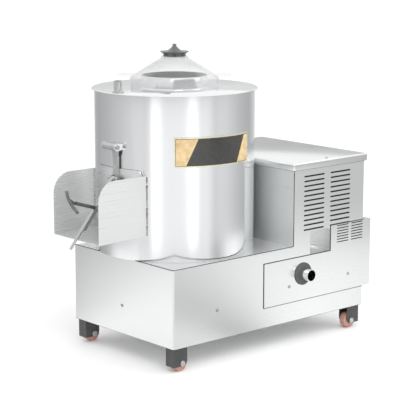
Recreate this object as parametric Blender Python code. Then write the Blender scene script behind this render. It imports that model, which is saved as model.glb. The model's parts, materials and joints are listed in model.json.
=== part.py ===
"""Electric potato peeler: a belt-driven abrasive peeling drum beside a motor cabinet, on a base with casters.

Metres, +Z up. The pieces are laid out from the base's front left corner at floor level, with X along the
base and Y towards its back, and the whole then stands with its box's bottom centre on the origin.
"""

import math

import bmesh
import bpy
from mathutils import Matrix, Vector

# Clearances and stock
GAP = 0.0003
OVERRUN = 0.02
SHEET = 0.0015
BEND_RADIUS = 0.004

# Sides of a full turn, by the size of what is turned
DRUM_SIDES = 48
MEDIUM_SIDES = 24
SMALL_SIDES = 16
TINY_SIDES = 10

# Housing
BASE_LENGTH = 0.800
BASE_DEPTH = 0.475
BASE_HEIGHT = 0.235
FLOOR_CLEARANCE = 0.0725
CABINET_LENGTH = 0.315
CABINET_HEIGHT = 0.2615
SIDE_PANEL_FOOT = 0.015
COVER_OVERHANG = 0.007
COVER_RIM = 0.023
COVER_EDGE_RADIUS = 0.0065
COVER_SHEET = 0.002
PAN_SHEET = 0.002
PAN_RIM = 0.018

# Cabinet vents: two columns of slots in the front sheet
VENT_ROWS = 12
VENT_LENGTH = 0.0905
VENT_HEIGHT = 0.005
VENT_PITCH = 0.0153
VENT_INSET = 0.043
VENT_COLUMN_GAP = 0.026
VENT_ABOVE_DECK = 0.0465

# Grip pocket beside the service panel
POCKET_LENGTH = 0.090
POCKET_DEPTH = 0.055
POCKET_RADIUS = 0.004
POCKET_TO_VENT = 0.004
POCKET_LIP = 0.006

# Service panel
PANEL_LEFT = 0.360
PANEL_OVERHANG = 0.032
PANEL_ABOVE_BASE = 0.062
PANEL_LOW_HEIGHT = 0.137
PANEL_HIGH_HEIGHT = 0.218
PANEL_RISER_LENGTH = 0.183
PANEL_RADIUS = 0.002
PANEL_VENT_ROWS = 7
PANEL_VENT_LENGTH = 0.054
PANEL_VENT_HEIGHT = 0.003
PANEL_VENT_PITCH = 0.0088
PANEL_VENT_INSET = 0.027
PANEL_VENT_COLUMN_GAP = 0.0115
PANEL_VENT_TOP_MARGIN = 0.004
PANEL_WINDOW_MARGIN = 0.003

# Waste outlet and drain
OUTLET_FROM_PANEL_LEFT = 0.166
OUTLET_ABOVE_BASE = 0.145
PIPE_RADIUS = 0.019
PIPE_WALL = 0.0015
PIPE_REACH = 0.037
PIPE_INSIDE = 0.050
FLANGE_RADIUS = 0.0355
FLANGE_THICKNESS = 0.005
HOSE_WALL = 0.0035
HOSE_LAP = 0.018
PAN_WALL = 0.002
PAN_DEPTH = 0.036
PAN_RISE = 0.010
STUB_DROP = 0.030
STUB_RING_SHARE = 0.78
STUB_ANGLE = -30.0

# Drum
DRUM_HEIGHT = 0.490
DRUM_WALL = 0.002
DRUM_OVERHANG = 0.0155
DRUM_TO_CABINET = 0.0125
DRUM_BACK_OFFSET = 0.0245
LINER_THICKNESS = 0.006
TOP_PLATE_THICKNESS = 0.003
TOP_PLATE_OVERHANG = 0.0085
COLLAR_SHARE = 0.41
COLLAR_HEIGHT = 0.037
COLLAR_WALL = 0.0025
COLLAR_FOOT = 0.003
INLET_RADIUS = 0.013
INLET_WALL = 0.0025
INLET_HEIGHT = 0.033
INLET_FROM_EDGE = 0.026
INLET_FOOT = 0.005

# Lid and knob
LID_SHARE = 0.552
LID_WALL = 0.003
LID_SKIRT = 0.031
LID_CONE_RISE = 0.0565
LID_NECK_RADIUS = 0.0405
LID_NECK_RISE = 0.0055
EAR_LENGTH = 0.0375
EAR_WIDTH = 0.030
EAR_THICKNESS = 0.005
EAR_RISE = 0.0080
EAR_ROUND = 0.008
EAR_ANGLE = -41.0
KNOB_NECK_RADIUS = 0.0345
KNOB_NECK_HEIGHT = 0.0075
KNOB_BRIM_RADIUS = 0.0435
KNOB_BRIM_RISE = 0.007
KNOB_CONE_RADIUS = 0.025
KNOB_CONE_HEIGHT = 0.0125
KNOB_NUB_RADIUS = 0.006
KNOB_NUB_HEIGHT = 0.013
KNOB_FLUTES = 8
KNOB_FLUTE_RADIUS = 0.003

# Discharge chute
CHUTE_WIDTH = 0.220
CHUTE_BACK_OFFSET = 0.0115
CHUTE_REACH = 0.1445
CHUTE_SHEET = 0.002
CHUTE_FLOOR_ABOVE_DECK = 0.0805
CHUTE_FLOOR_FALL = 0.0045
CHUTE_HEIGHT = 0.177
CHUTE_CORNER_RADIUS = 0.060

# Discharge door
DOOR_OPENING_WIDTH = 0.176
DOOR_OPENING_HEIGHT = 0.170
DOOR_OPENING_RADIUS = 0.012
DOOR_OPENING_LIFT = 0.009
DOOR_LAP = 0.0105
DOOR_BOTTOM_LAP = 0.005
DOOR_TOP_LAP = 0.013
DOOR_THICKNESS = 0.002
DOOR_CORNER_RADIUS = 0.016
SEAL_THICKNESS = 0.002
SEAL_MARGIN = 0.003
HINGE_HEIGHT_ABOVE_DECK = 0.337
HINGE_STANDOFF = 0.0135
KNUCKLE_RADIUS = 0.0105
KNUCKLE_LENGTH = 0.056
HINGE_PIN_RADIUS = 0.004
HINGE_EAR = 0.003
HINGE_EAR_RADIUS = 0.0115
HINGE_PLATE = 0.0015
HINGE_PLATE_HEIGHT = 0.018
HINGE_CLEARANCE = 0.0005
RUNNING = 0.0004
STRAP_THICKNESS = 0.005
STRAP_TOP_WIDTH = 0.028
STRAP_WAIST_WIDTH = 0.020
STRAP_LENGTH = 0.222
STRAP_SHOE = 0.004
STRAP_FORWARD = 0.014

# Clamp bar and its pivot
PIVOT_BELOW_HINGE = 0.094
PIVOT_STANDOFF = 0.0150
LUG_THICKNESS = 0.004
LUG_RADIUS = 0.010
PIVOT_BOLT_RADIUS = 0.004
PIVOT_HEAD_RADIUS = 0.008
PIVOT_HEAD = 0.006
PIVOT_CAP = 0.012
PIVOT_SLOT_ABOVE = 0.010
PIVOT_SLOT_BELOW = 0.014
BAR_ANGLE = 51.1
BAR_LENGTH = 0.2494
BAR_WIDTH = 0.014
BAR_DEPTH = 0.011
BAR_WALL = 0.002
BAR_CHANNEL_LENGTH = 0.189
BAR_EYE_RADIUS = 0.008
TAIL_WIDTH = 0.010
TAIL_THICKNESS = 0.004
BOSS_RADIUS = 0.009
BOSS_LENGTH = 0.020

# Clamp screw: it crosses the bar and points outwards and a little up
SCREW_ANGLE = 17.5
SCREW_ALONG_BAR = 0.103
SPINDLE_RADIUS = 0.005
SPINDLE_OUTER_LENGTH = 0.080
SHANK_RADIUS = 0.0055
SCREW_PITCH = 0.003
PAD_RADIUS = 0.014
PAD_THICKNESS = 0.006
PAD_SOCKET_RADIUS = 0.008
PAD_SOCKET_LENGTH = 0.008
GRIP_NECK_RADIUS = 0.0035
GRIP_NECK_LENGTH = 0.006
GRIP_RADIUS = 0.0045
GRIP_SPAN = 0.090
GRIP_BOW = 0.009
GRIP_WEB_SPAN = 0.030
GRIP_WEB_LENGTH = 0.014
GRIP_WEB_THICKNESS = 0.004
GRIP_TILT = -35.0

# Casters
CASTER_INSET = 0.002
CASTER_FAR_INSET = 0.0135
BRACKET_LENGTH = 0.052
BRACKET_WIDTH = 0.036
BRACKET_WALL = 0.0025
BRACKET_TOP = 0.003
BRACKET_CORNER_RADIUS = 0.016
BRACKET_ABOVE_FLOOR = 0.0168
WHEEL_RADIUS = 0.0255
WHEEL_WIDTH = 0.022
WHEEL_HUB_RADIUS = 0.012
WHEEL_DISH = 0.002
AXLE_RADIUS = 0.004
AXLE_FROM_WEB = 0.033
AXLE_HEAD_RADIUS = 0.009
AXLE_HEAD = 0.005
AXLE_NUT_RADIUS = 0.007

# Drive
SHAFT_RADIUS = 0.0125
BEARING_RADIUS = 0.026
BEARING_WIDTH = 0.015
HOUSING_WALL = 0.009
HOUSING_FLANGE_RADIUS = 0.060
HOUSING_FLANGE = 0.008
HOUSING_DROP = 0.140
HOUSING_BORE_SHARE = 0.8
SEAL_HEIGHT = 0.005
BEAM_LENGTH = 0.160
BEAM_HEIGHT = 0.020
BEAM_SHEET = 0.003
DISC_CLEARANCE = 0.008
DISC_THICKNESS = 0.011
DISC_WAVE = 0.016
DISC_WAVES = 3
DISC_SECTORS = 42
DISC_RINGS = 3
DISC_HUB_RADIUS = 0.040
DISC_ABOVE_PAN = 0.007
WIPER_DROP = 0.012
WIPER_THICKNESS = 0.006
WIPER_INNER = 0.060
CAP_NUT_RADIUS = 0.017
CAP_NUT_HEIGHT = 0.020
STUD_RADIUS = 0.008
DRIVEN_PULLEY_RADIUS = 0.110
MOTOR_PULLEY_RADIUS = 0.036
PULLEY_WIDTH = 0.022
PULLEY_HUB_RADIUS = 0.030
PULLEY_WEB = 0.008
PULLEY_RIM = 0.016
PULLEY_ABOVE_PAN = 0.030
GROOVE_DEPTH = 0.010
GROOVE_TOP = 0.013
GROOVE_BOTTOM = 0.008
BELT_PROUD = 0.001
MOTOR_FROM_RIGHT = 0.142
MOTOR_RADIUS = 0.072
MOTOR_HEIGHT = 0.175
MOTOR_FINS = 12
MOTOR_FIN_DEPTH = 0.008
MOTOR_FIN_SHARE = 0.4
MOTOR_FLANGE_RADIUS = 0.080
MOTOR_FLANGE = 0.010
MOTOR_SHAFT_RADIUS = 0.0095
MOTOR_SHAFT_INSIDE = 0.040
COWL_HEIGHT = 0.048
MOTOR_COWL_RADIUS = 0.075
COWL_ROUND = 0.012
MOUNT_PLATE = 0.005
MOUNT_LENGTH = 0.190
MOUNT_DEPTH = 0.190
MOUNT_RISE = 0.062
MOUNT_HOLE_RADIUS = 0.030
MOUNT_FOOT = 0.020

# Switch housing, on the right end behind the panel's overhang
SWITCH_HOUSING_DEPTH = 0.200
SWITCH_SHEET = 0.0015
BUTTON_PLATE_WIDTH = 0.060
BUTTON_PLATE_HEIGHT = 0.100
BUTTON_PLATE_THICKNESS = 0.003
BUTTON_PLATE_RADIUS = 0.006
BUTTON_SPACING = 0.044
START_RADIUS = 0.0125
STOP_RADIUS = 0.016
BUTTON_HEIGHT = 0.010
BUTTON_STEM_RADIUS = 0.006
BUTTON_TRAVEL = 0.004
BUTTON_REACH = 0.009
SWITCH_BLOCK_WIDTH = 0.044
SWITCH_BLOCK_HEIGHT = 0.086
SWITCH_BLOCK_DEPTH = 0.022

# Rear cover and cable gland
REAR_COVER_LENGTH = 0.250
REAR_COVER_HEIGHT = 0.300
REAR_COVER_ABOVE_BASE = 0.120
REAR_COVER_LAP = 0.015
REAR_VENT_ROWS = 6
REAR_VENT_LENGTH = 0.080
REAR_VENT_HEIGHT = 0.005
REAR_VENT_PITCH = 0.020
REAR_VENT_GAP = 0.020
GLAND_FROM_RIGHT = 0.060
GLAND_ABOVE_BASE = 0.045
GLAND_RADIUS = 0.012
GLAND_BORE = 0.005
GLAND_HEX = 0.008
GLAND_DOME = 0.014
GLAND_THREAD_RADIUS = 0.0095
GLAND_THREAD = 0.010

# Places that several pieces share
UNDERSIDE = FLOOR_CLEARANCE
DECK_TOP = FLOOR_CLEARANCE + BASE_HEIGHT
CABINET_LEFT = BASE_LENGTH - CABINET_LENGTH
COVER_TOP = DECK_TOP + CABINET_HEIGHT
WALL_TOP = COVER_TOP - COVER_SHEET - GAP
MID_DEPTH = BASE_DEPTH / 2
DRUM_RADIUS = (CABINET_LEFT - DRUM_TO_CABINET + DRUM_OVERHANG) / 2
DRUM_X = DRUM_RADIUS - DRUM_OVERHANG
DRUM_Y = MID_DEPTH + DRUM_BACK_OFFSET
DRUM_FACE = DRUM_X - DRUM_RADIUS
DRUM_TOP = DECK_TOP + DRUM_HEIGHT
PLATE_TOP = DRUM_TOP + TOP_PLATE_THICKNESS
COLLAR_RADIUS = COLLAR_SHARE * DRUM_RADIUS
LID_RADIUS = LID_SHARE * DRUM_RADIUS
INLET_RING = DRUM_RADIUS - INLET_FROM_EDGE
PANEL_BOTTOM = UNDERSIDE + PANEL_ABOVE_BASE
PANEL_RIGHT = BASE_LENGTH + PANEL_OVERHANG
PANEL_FRONT = -GAP - SHEET
OUTLET_X = PANEL_LEFT + OUTLET_FROM_PANEL_LEFT
OUTLET_Z = UNDERSIDE + OUTLET_ABOVE_BASE
MOTOR_X = BASE_LENGTH - MOTOR_FROM_RIGHT
PAN_FLOOR_TOP = UNDERSIDE + PAN_SHEET
PULLEY_MID = PAN_FLOOR_TOP + PULLEY_ABOVE_PAN + PULLEY_WIDTH / 2
PAN_RIM_TOP = DECK_TOP + PAN_DEPTH
DISC_UNDERSIDE = PAN_RIM_TOP + DISC_ABOVE_PAN
HOUSING_RADIUS = BEARING_RADIUS + HOUSING_WALL
CHUTE_FLOOR = DECK_TOP + CHUTE_FLOOR_ABOVE_DECK
CHUTE_Y = MID_DEPTH + CHUTE_BACK_OFFSET
CHUTE_SIDE = CHUTE_Y - DRUM_Y
STRAP_Y = CHUTE_Y - STRAP_FORWARD
HINGE_X = DRUM_FACE - HINGE_STANDOFF
HINGE_Z = DECK_TOP + HINGE_HEIGHT_ABOVE_DECK
SEAL_INNER = DRUM_RADIUS + GAP
DOOR_INNER = SEAL_INNER + SEAL_THICKNESS + GAP
STRAP_INNER_X = DRUM_X - DOOR_INNER - DOOR_THICKNESS - GAP
STRAP_OUTER_X = STRAP_INNER_X - STRAP_THICKNESS
OPENING_BOTTOM = CHUTE_FLOOR + DOOR_OPENING_LIFT
PIVOT_X = DRUM_FACE - PIVOT_STANDOFF
PIVOT_Z = HINGE_Z - PIVOT_BELOW_HINGE
FORK_HALF = BAR_WIDTH / 2 + RUNNING


# Scene, materials and small helpers


def clear_scene():
    for obj in list(bpy.data.objects):
        bpy.data.objects.remove(obj, do_unlink=True)


def make_material(name, colour, roughness, metallic, alpha=1):
    material = bpy.data.materials.new(name)
    material.use_nodes = True
    shader = material.node_tree.nodes["Principled BSDF"]
    shader.inputs["Base Color"].default_value = (*colour, 1)
    shader.inputs["Roughness"].default_value = roughness
    shader.inputs["Metallic"].default_value = metallic
    shader.inputs["Alpha"].default_value = alpha
    material.diffuse_color = (*colour, alpha)
    return material


def make_empty(name, location, parent=None, rotation=(0, 0, 0)):
    empty = bpy.data.objects.new(name, None)
    empty.parent = parent
    empty.location = location
    empty.rotation_euler = rotation
    bpy.context.scene.collection.objects.link(empty)
    return empty


def object_from(bm, name, material, parent, location=(0, 0, 0), rotation=(0, 0, 0), smooth=30):
    """Links the bmesh as one object, with its edges sharper than `smooth` degrees left sharp."""
    bmesh.ops.recalc_face_normals(bm, faces=bm.faces)
    mesh = bpy.data.meshes.new(name)
    bm.to_mesh(mesh)
    bm.free()
    mesh.shade_smooth()
    mesh.set_sharp_from_angle(angle=math.radians(smooth))
    obj = bpy.data.objects.new(name, mesh)
    if material:
        mesh.materials.append(material)
    obj.parent = parent
    obj.location = location
    obj.rotation_euler = rotation
    bpy.context.scene.collection.objects.link(obj)
    return obj


def prism(outline, start, end, axis="Y"):
    """A solid with this outline between two places on an axis. An outline along Y is in XZ, and so on."""
    places = {
        "X": lambda u, v, w: (w, u, v),
        "Y": lambda u, v, w: (u, w, v),
        "Z": lambda u, v, w: (u, v, w),
    }[axis]
    bm = bmesh.new()
    face = bm.faces.new([bm.verts.new(places(u, v, start)) for u, v in outline])
    swept = bmesh.ops.extrude_face_region(bm, geom=[face])
    moved = [item for item in swept["geom"] if isinstance(item, bmesh.types.BMVert)]
    bmesh.ops.translate(bm, verts=moved, vec=Vector(places(0, 0, end - start)))
    return bm


def turned(profile, sides=MEDIUM_SIDES, axis="Z"):
    """A solid of revolution from a closed loop of (radius, place along the axis) points."""
    places = {
        "X": lambda u, v, w: (w, u, v),
        "Y": lambda u, v, w: (v, w, u),
        "Z": lambda u, v, w: (u, v, w),
    }[axis]
    bm = bmesh.new()
    rings = []
    for radius, height in profile:
        turns = [2 * math.pi * side / sides for side in range(sides if radius else 1)]
        points = [places(radius * math.cos(turn), radius * math.sin(turn), height) for turn in turns]
        rings.append([bm.verts.new(point) for point in points])
    for lower, upper in zip(rings, rings[1:] + rings[:1]):
        for side in range(sides):
            after = (side + 1) % sides
            corners = [lower[side % len(lower)], lower[after % len(lower)]]
            corners += [upper[after % len(upper)], upper[side % len(upper)]]
            corners = list(dict.fromkeys(corners))
            if len(corners) > 2:
                bm.faces.new(corners)
    return bm


def rod(radius, start, end, sides=SMALL_SIDES, axis="Z"):
    return turned([(radius, start), (radius, end), (0, end), (0, start)], sides, axis)


def tube_profile(outer, inner, bottom, top):
    return [(outer, bottom), (outer, top), (inner, top), (inner, bottom)]


def arc(centre, radius, start, end, steps):
    """Points along an arc, from one angle to another in degrees."""
    angles = [math.radians(start + (end - start) * step / steps) for step in range(steps + 1)]
    return [(centre[0] + radius * math.cos(a), centre[1] + radius * math.sin(a)) for a in angles]


def rounded_box(low, high, radius, steps=2):
    """The outline of a rectangle with round corners, from its lowest and highest corner."""
    (left, bottom), (right, top) = low, high
    corners = [
        ((right - radius, top - radius), 0),
        ((left + radius, top - radius), 90),
        ((left + radius, bottom + radius), 180),
        ((right - radius, bottom + radius), 270),
    ]
    return [point for centre, turn in corners for point in arc(centre, radius, turn, turn + 90, steps)]


def box(low, high):
    (x0, y0, z0), (x1, y1, z1) = low, high
    return prism([(x0, z0), (x1, z0), (x1, z1), (x0, z1)], y0, y1)


def add_modifier(obj, other, operation):
    modifier = obj.modifiers.new(f"{operation.title()} {other.name}", "BOOLEAN")
    modifier.operation = operation
    modifier.object = other
    modifier.solver = "EXACT"


def helper(bm, name, parent, location=(0, 0, 0), rotation=(0, 0, 0)):
    """A shape that only cuts or joins: it isn't a piece."""
    obj = object_from(bm, name, None, parent, location, rotation)
    obj.hide_render = True
    obj.display_type = "WIRE"
    return obj


def cut(obj, bm, name, location=(0, 0, 0), rotation=(0, 0, 0)):
    add_modifier(obj, helper(bm, f"{obj.name}.{name}", obj.parent, location, rotation), "DIFFERENCE")


def join(obj, bm, name, location=(0, 0, 0), rotation=(0, 0, 0)):
    add_modifier(obj, helper(bm, f"{obj.name}.{name}", obj.parent, location, rotation), "UNION")


def merged(bms):
    """Several closed shapes that don't touch, in one bmesh, for a cutter."""
    whole = bmesh.new()
    for bm in bms:
        bmesh.ops.recalc_face_normals(bm, faces=bm.faces)
        mesh = bpy.data.meshes.new("merged")
        bm.to_mesh(mesh)
        bm.free()
        whole.from_mesh(mesh)
        bpy.data.meshes.remove(mesh)
    return whole


def slots(left, lowest, length, height, pitch, rows, start, end):
    """A column of level slots with round ends, as cutters along Y."""
    outlines = []
    for row in range(rows):
        middle = lowest + pitch * row
        outline = arc((left + length - height / 2, middle), height / 2, -90, 90, 2)
        outline += arc((left + height / 2, middle), height / 2, 90, 270, 2)
        outlines.append(prism(outline, start, end))
    return outlines


def rings_along(bm, path, radius, sides, across=Vector((0, 1, 0))):
    """Rings of points square to the path, each turned as little as possible from the one before."""
    rings = []
    for index, point in enumerate(path):
        ahead = path[min(index + 1, len(path) - 1)]
        behind = path[max(index - 1, 0)]
        along = (ahead - behind).normalized()
        across = (across - along * across.dot(along)).normalized()
        up = along.cross(across)
        turns = [2 * math.pi * side / sides for side in range(sides)]
        spokes = [across * math.cos(turn) + up * math.sin(turn) for turn in turns]
        rings.append([bm.verts.new(point + spoke * radius) for spoke in spokes])
    return rings


def skin(bm, rings):
    """Faces between each ring and the next."""
    for first, second in zip(rings, rings[1:]):
        for side, corner in enumerate(first):
            after = (side + 1) % len(first)
            bm.faces.new([corner, first[after], second[after], second[side]])


def swept_tube(path, outer, inner, sides):
    """A bent tube with open ends."""
    bm = bmesh.new()
    loop = rings_along(bm, path, outer, sides) + rings_along(bm, path, inner, sides)[::-1]
    skin(bm, loop + loop[:1])
    return bm


def swept_bar(path, radius, sides):
    """A bent round bar with closed ends."""
    bm = bmesh.new()
    rings = rings_along(bm, path, radius, sides, Vector((1, 0, 0)))
    skin(bm, rings)
    bm.faces.new(rings[0])
    bm.faces.new(rings[-1])
    return bm


def smooth_path(knots, steps):
    """Points along a curve that passes through the knots."""
    ends = [2 * knots[0] - knots[1]] + knots + [2 * knots[-1] - knots[-2]]
    path = []
    for a, b, c, d in zip(ends, ends[1:], ends[2:], ends[3:]):
        for step in range(steps):
            t = step / steps
            bend = (2 * a - 5 * b + 4 * c - d) * t * t + (3 * b - a - 3 * c + d) * t * t * t
            path.append((2 * b + (c - a) * t + bend) / 2)
    return path + [knots[-1]]


# Housing


def front_vents():
    lowest = DECK_TOP + VENT_ABOVE_DECK
    first = CABINET_LEFT + VENT_INSET
    columns = (first, first + VENT_LENGTH + VENT_COLUMN_GAP)
    size = (VENT_LENGTH, VENT_HEIGHT, VENT_PITCH, VENT_ROWS, -OVERRUN, OVERRUN)
    return [slot for left in columns for slot in slots(left, lowest, *size)]


def pocket_box():
    """Left, bottom, right and top of the grip pocket's mouth."""
    right = PANEL_RIGHT - PANEL_RISER_LENGTH - PANEL_RADIUS
    bottom = PANEL_BOTTOM + PANEL_LOW_HEIGHT + PANEL_RADIUS
    top = DECK_TOP + VENT_ABOVE_DECK - VENT_HEIGHT / 2 - POCKET_TO_VENT
    return right - POCKET_LENGTH, bottom, right, top


def panel_window():
    """Left, bottom, right and top of the window that backs the panel's small vents."""
    left = PANEL_RIGHT - PANEL_RISER_LENGTH + PANEL_VENT_INSET - PANEL_WINDOW_MARGIN
    right = BASE_LENGTH - BEND_RADIUS - GAP
    top = PANEL_BOTTOM + PANEL_HIGH_HEIGHT - PANEL_VENT_TOP_MARGIN + PANEL_WINDOW_MARGIN / 2
    bottom = top - PANEL_VENT_PITCH * (PANEL_VENT_ROWS - 1) - PANEL_VENT_HEIGHT - PANEL_WINDOW_MARGIN
    return left, bottom, right, top


def rear_cover_box():
    """Left, bottom, right and top of the rear cover."""
    left = CABINET_LEFT + (CABINET_LENGTH - REAR_COVER_LENGTH) / 2
    bottom = UNDERSIDE + REAR_COVER_ABOVE_BASE
    return left, bottom, left + REAR_COVER_LENGTH, bottom + REAR_COVER_HEIGHT


def add_body_shell(root, steel):
    walls = prism(rounded_box((0, 0), (BASE_LENGTH, BASE_DEPTH), BEND_RADIUS), UNDERSIDE, WALL_TOP, "Z")
    shell = object_from(walls, "body_shell", steel, root)
    inner_low = (SHEET, SHEET)
    inner_high = (BASE_LENGTH - SHEET, BASE_DEPTH - SHEET)
    inside = rounded_box(inner_low, inner_high, BEND_RADIUS - SHEET)
    cut(shell, prism(inside, UNDERSIDE - OVERRUN, WALL_TOP + OVERRUN, "Z"), "inside")
    above_deck = DECK_TOP - SHEET - GAP
    low = (-OVERRUN, -OVERRUN, above_deck)
    high = (CABINET_LEFT, BASE_DEPTH + OVERRUN, COVER_TOP + OVERRUN)
    cut(shell, box(low, high), "step")
    left, bottom, right, top = pocket_box()
    openings = [prism(rounded_box((left, bottom), (right, top), POCKET_RADIUS), -OVERRUN, OVERRUN)]
    left, bottom, right, top = panel_window()
    openings.append(prism(rounded_box((left, bottom), (right, top), POCKET_RADIUS), -OVERRUN, OVERRUN))
    pipe_hole = rod(PIPE_RADIUS + RUNNING, -OVERRUN, OVERRUN, MEDIUM_SIDES, "Y")
    bmesh.ops.translate(pipe_hole, verts=pipe_hole.verts, vec=(OUTLET_X, 0, OUTLET_Z))
    openings.append(pipe_hole)
    cut(shell, merged(openings + front_vents()), "front_openings")
    left, bottom, right, top = rear_cover_box()
    low = (left + REAR_COVER_LAP, bottom + REAR_COVER_LAP)
    high = (right - REAR_COVER_LAP, top - REAR_COVER_LAP)
    back = BASE_DEPTH
    window = prism(rounded_box(low, high, POCKET_RADIUS), back - OVERRUN, back + OVERRUN)
    gland_radius = GLAND_THREAD_RADIUS + RUNNING
    gland_hole = rod(gland_radius, -OVERRUN, OVERRUN, SMALL_SIDES, "Y")
    place = (BASE_LENGTH - GLAND_FROM_RIGHT, back, UNDERSIDE + GLAND_ABOVE_BASE)
    bmesh.ops.translate(gland_hole, verts=gland_hole.verts, vec=place)
    cut(shell, merged([window, gland_hole]), "back_openings")
    return shell


def add_base_pan(root, steel):
    inset = SHEET + GAP
    low = (inset, inset)
    high = (BASE_LENGTH - inset, BASE_DEPTH - inset)
    radius = BEND_RADIUS - SHEET
    block = prism(rounded_box(low, high, radius), UNDERSIDE, UNDERSIDE + PAN_RIM, "Z")
    pan = object_from(block, "base_pan", steel, root)
    low = (inset + PAN_SHEET, inset + PAN_SHEET)
    high = (BASE_LENGTH - inset - PAN_SHEET, BASE_DEPTH - inset - PAN_SHEET)
    hollow = rounded_box(low, high, radius / 2)
    cut(pan, prism(hollow, PAN_FLOOR_TOP, UNDERSIDE + PAN_RIM + OVERRUN, "Z"), "hollow")


def add_deck(root, steel):
    right = CABINET_LEFT - GAP
    corners = [(0, 0), (right, 0), (right, BASE_DEPTH), (0, BASE_DEPTH)]
    deck = object_from(prism(corners, DECK_TOP - SHEET, DECK_TOP, "Z"), "deck_plate", steel, root)
    hub = HOUSING_RADIUS + RUNNING
    stub = PIPE_RADIUS + RUNNING
    centre_hole = rod(hub, DECK_TOP - OVERRUN, DECK_TOP + OVERRUN, MEDIUM_SIDES)
    bmesh.ops.translate(centre_hole, verts=centre_hole.verts, vec=(DRUM_X, DRUM_Y, 0))
    stub_hole = rod(stub, DECK_TOP - OVERRUN, DECK_TOP + OVERRUN, SMALL_SIDES)
    bmesh.ops.translate(stub_hole, verts=stub_hole.verts, vec=(*stub_place(), 0))
    cut(deck, merged([centre_hole, stub_hole]), "holes")


def add_cabinet_side_panel(root, steel):
    foot_top = DECK_TOP - SHEET - GAP
    outline = [
        (CABINET_LEFT + SHEET, WALL_TOP),
        (CABINET_LEFT, WALL_TOP),
        (CABINET_LEFT, foot_top),
        (CABINET_LEFT - SIDE_PANEL_FOOT, foot_top),
        (CABINET_LEFT - SIDE_PANEL_FOOT, foot_top - SHEET),
        (CABINET_LEFT + SHEET, foot_top - SHEET),
    ]
    inset = SHEET + GAP
    object_from(prism(outline, inset, BASE_DEPTH - inset), "cabinet_side_panel", steel, root)


def add_cabinet_cover(root, steel):
    low = (CABINET_LEFT - COVER_OVERHANG, -COVER_OVERHANG)
    high = (BASE_LENGTH + COVER_OVERHANG, BASE_DEPTH + COVER_OVERHANG)
    bottom = COVER_TOP - COVER_RIM
    block = box((*low, bottom), (*high, COVER_TOP))
    round_top(block, bottom + COVER_RIM / 2, COVER_EDGE_RADIUS)
    cover = object_from(block, "cabinet_cover", steel, root)
    inner_low = (low[0] + COVER_SHEET, low[1] + COVER_SHEET)
    inner_high = (high[0] - COVER_SHEET, high[1] - COVER_SHEET)
    inner = box((*inner_low, bottom - OVERRUN), (*inner_high, COVER_TOP - COVER_SHEET))
    round_top(inner, bottom + COVER_RIM / 2, COVER_EDGE_RADIUS - COVER_SHEET)
    cut(cover, inner, "hollow")


def round_top(bm, above, radius):
    """Rounds each edge that reaches above this height."""
    edges = [edge for edge in bm.edges if max(vertex.co.z for vertex in edge.verts) > above]
    bmesh.ops.bevel(bm, geom=edges, offset=radius, segments=2, profile=0.5, affect="EDGES")


def add_grip_pocket(root, steel):
    left, bottom, right, top = pocket_box()
    depth = SHEET + GAP
    low = (left - POCKET_LIP, bottom - POCKET_LIP)
    high = (right + POCKET_LIP, top + POCKET_TO_VENT - GAP)
    front_plate = prism(rounded_box(low, high, POCKET_RADIUS), depth, depth + SHEET)
    pocket = object_from(front_plate, "grip_pocket", steel, root)
    low = (left - SHEET, bottom - SHEET)
    high = (right + SHEET, top + SHEET)
    radius = POCKET_RADIUS + SHEET
    join(pocket, prism(rounded_box(low, high, radius), depth, depth + POCKET_DEPTH), "cup")
    hollow = rounded_box((left, bottom), (right, top), POCKET_RADIUS)
    cut(pocket, prism(hollow, -OVERRUN, depth + POCKET_DEPTH - SHEET), "hollow")


def add_service_panel(root, steel):
    riser = PANEL_RIGHT - PANEL_RISER_LENGTH
    low_top = PANEL_BOTTOM + PANEL_LOW_HEIGHT
    high_top = PANEL_BOTTOM + PANEL_HIGH_HEIGHT
    outline = [
        (PANEL_LEFT, PANEL_BOTTOM),
        (PANEL_RIGHT - PANEL_RADIUS, PANEL_BOTTOM),
        (PANEL_RIGHT, PANEL_BOTTOM + PANEL_RADIUS),
        (PANEL_RIGHT, high_top),
        (riser, high_top),
        (riser, low_top),
        (PANEL_LEFT, low_top),
    ]
    panel = object_from(prism(outline, PANEL_FRONT, -GAP), "service_panel", steel, root)
    lowest = high_top - PANEL_VENT_TOP_MARGIN - PANEL_VENT_PITCH * (PANEL_VENT_ROWS - 1)
    first = riser + PANEL_VENT_INSET
    columns = (first, first + PANEL_VENT_LENGTH + PANEL_VENT_COLUMN_GAP)
    size = (PANEL_VENT_LENGTH, PANEL_VENT_HEIGHT, PANEL_VENT_PITCH, PANEL_VENT_ROWS, -OVERRUN, OVERRUN)
    cutters = [slot for left in columns for slot in slots(left, lowest, *size)]
    hole = PIPE_RADIUS + RUNNING
    pipe_hole = rod(hole, -OVERRUN, OVERRUN, MEDIUM_SIDES, "Y")
    bmesh.ops.translate(pipe_hole, verts=pipe_hole.verts, vec=(OUTLET_X, 0, OUTLET_Z))
    cut(panel, merged(cutters + [pipe_hole]), "openings")


def add_rear_cover(root, steel):
    left, bottom, right, top = rear_cover_box()
    back = BASE_DEPTH + GAP
    plate = prism(rounded_box((left, bottom), (right, top), POCKET_RADIUS), back, back + SHEET)
    cover = object_from(plate, "rear_cover", steel, root)
    middle = (left + right) / 2
    span = REAR_VENT_PITCH * (REAR_VENT_ROWS - 1)
    lowest = (bottom + top - span) / 2
    size = (REAR_VENT_LENGTH, REAR_VENT_HEIGHT, REAR_VENT_PITCH, REAR_VENT_ROWS)
    size += (back - OVERRUN, back + OVERRUN)
    columns = (middle - REAR_VENT_GAP / 2 - REAR_VENT_LENGTH, middle + REAR_VENT_GAP / 2)
    cutters = [slot for start in columns for slot in slots(start, lowest, *size)]
    cut(cover, merged(cutters), "vents")


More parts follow.
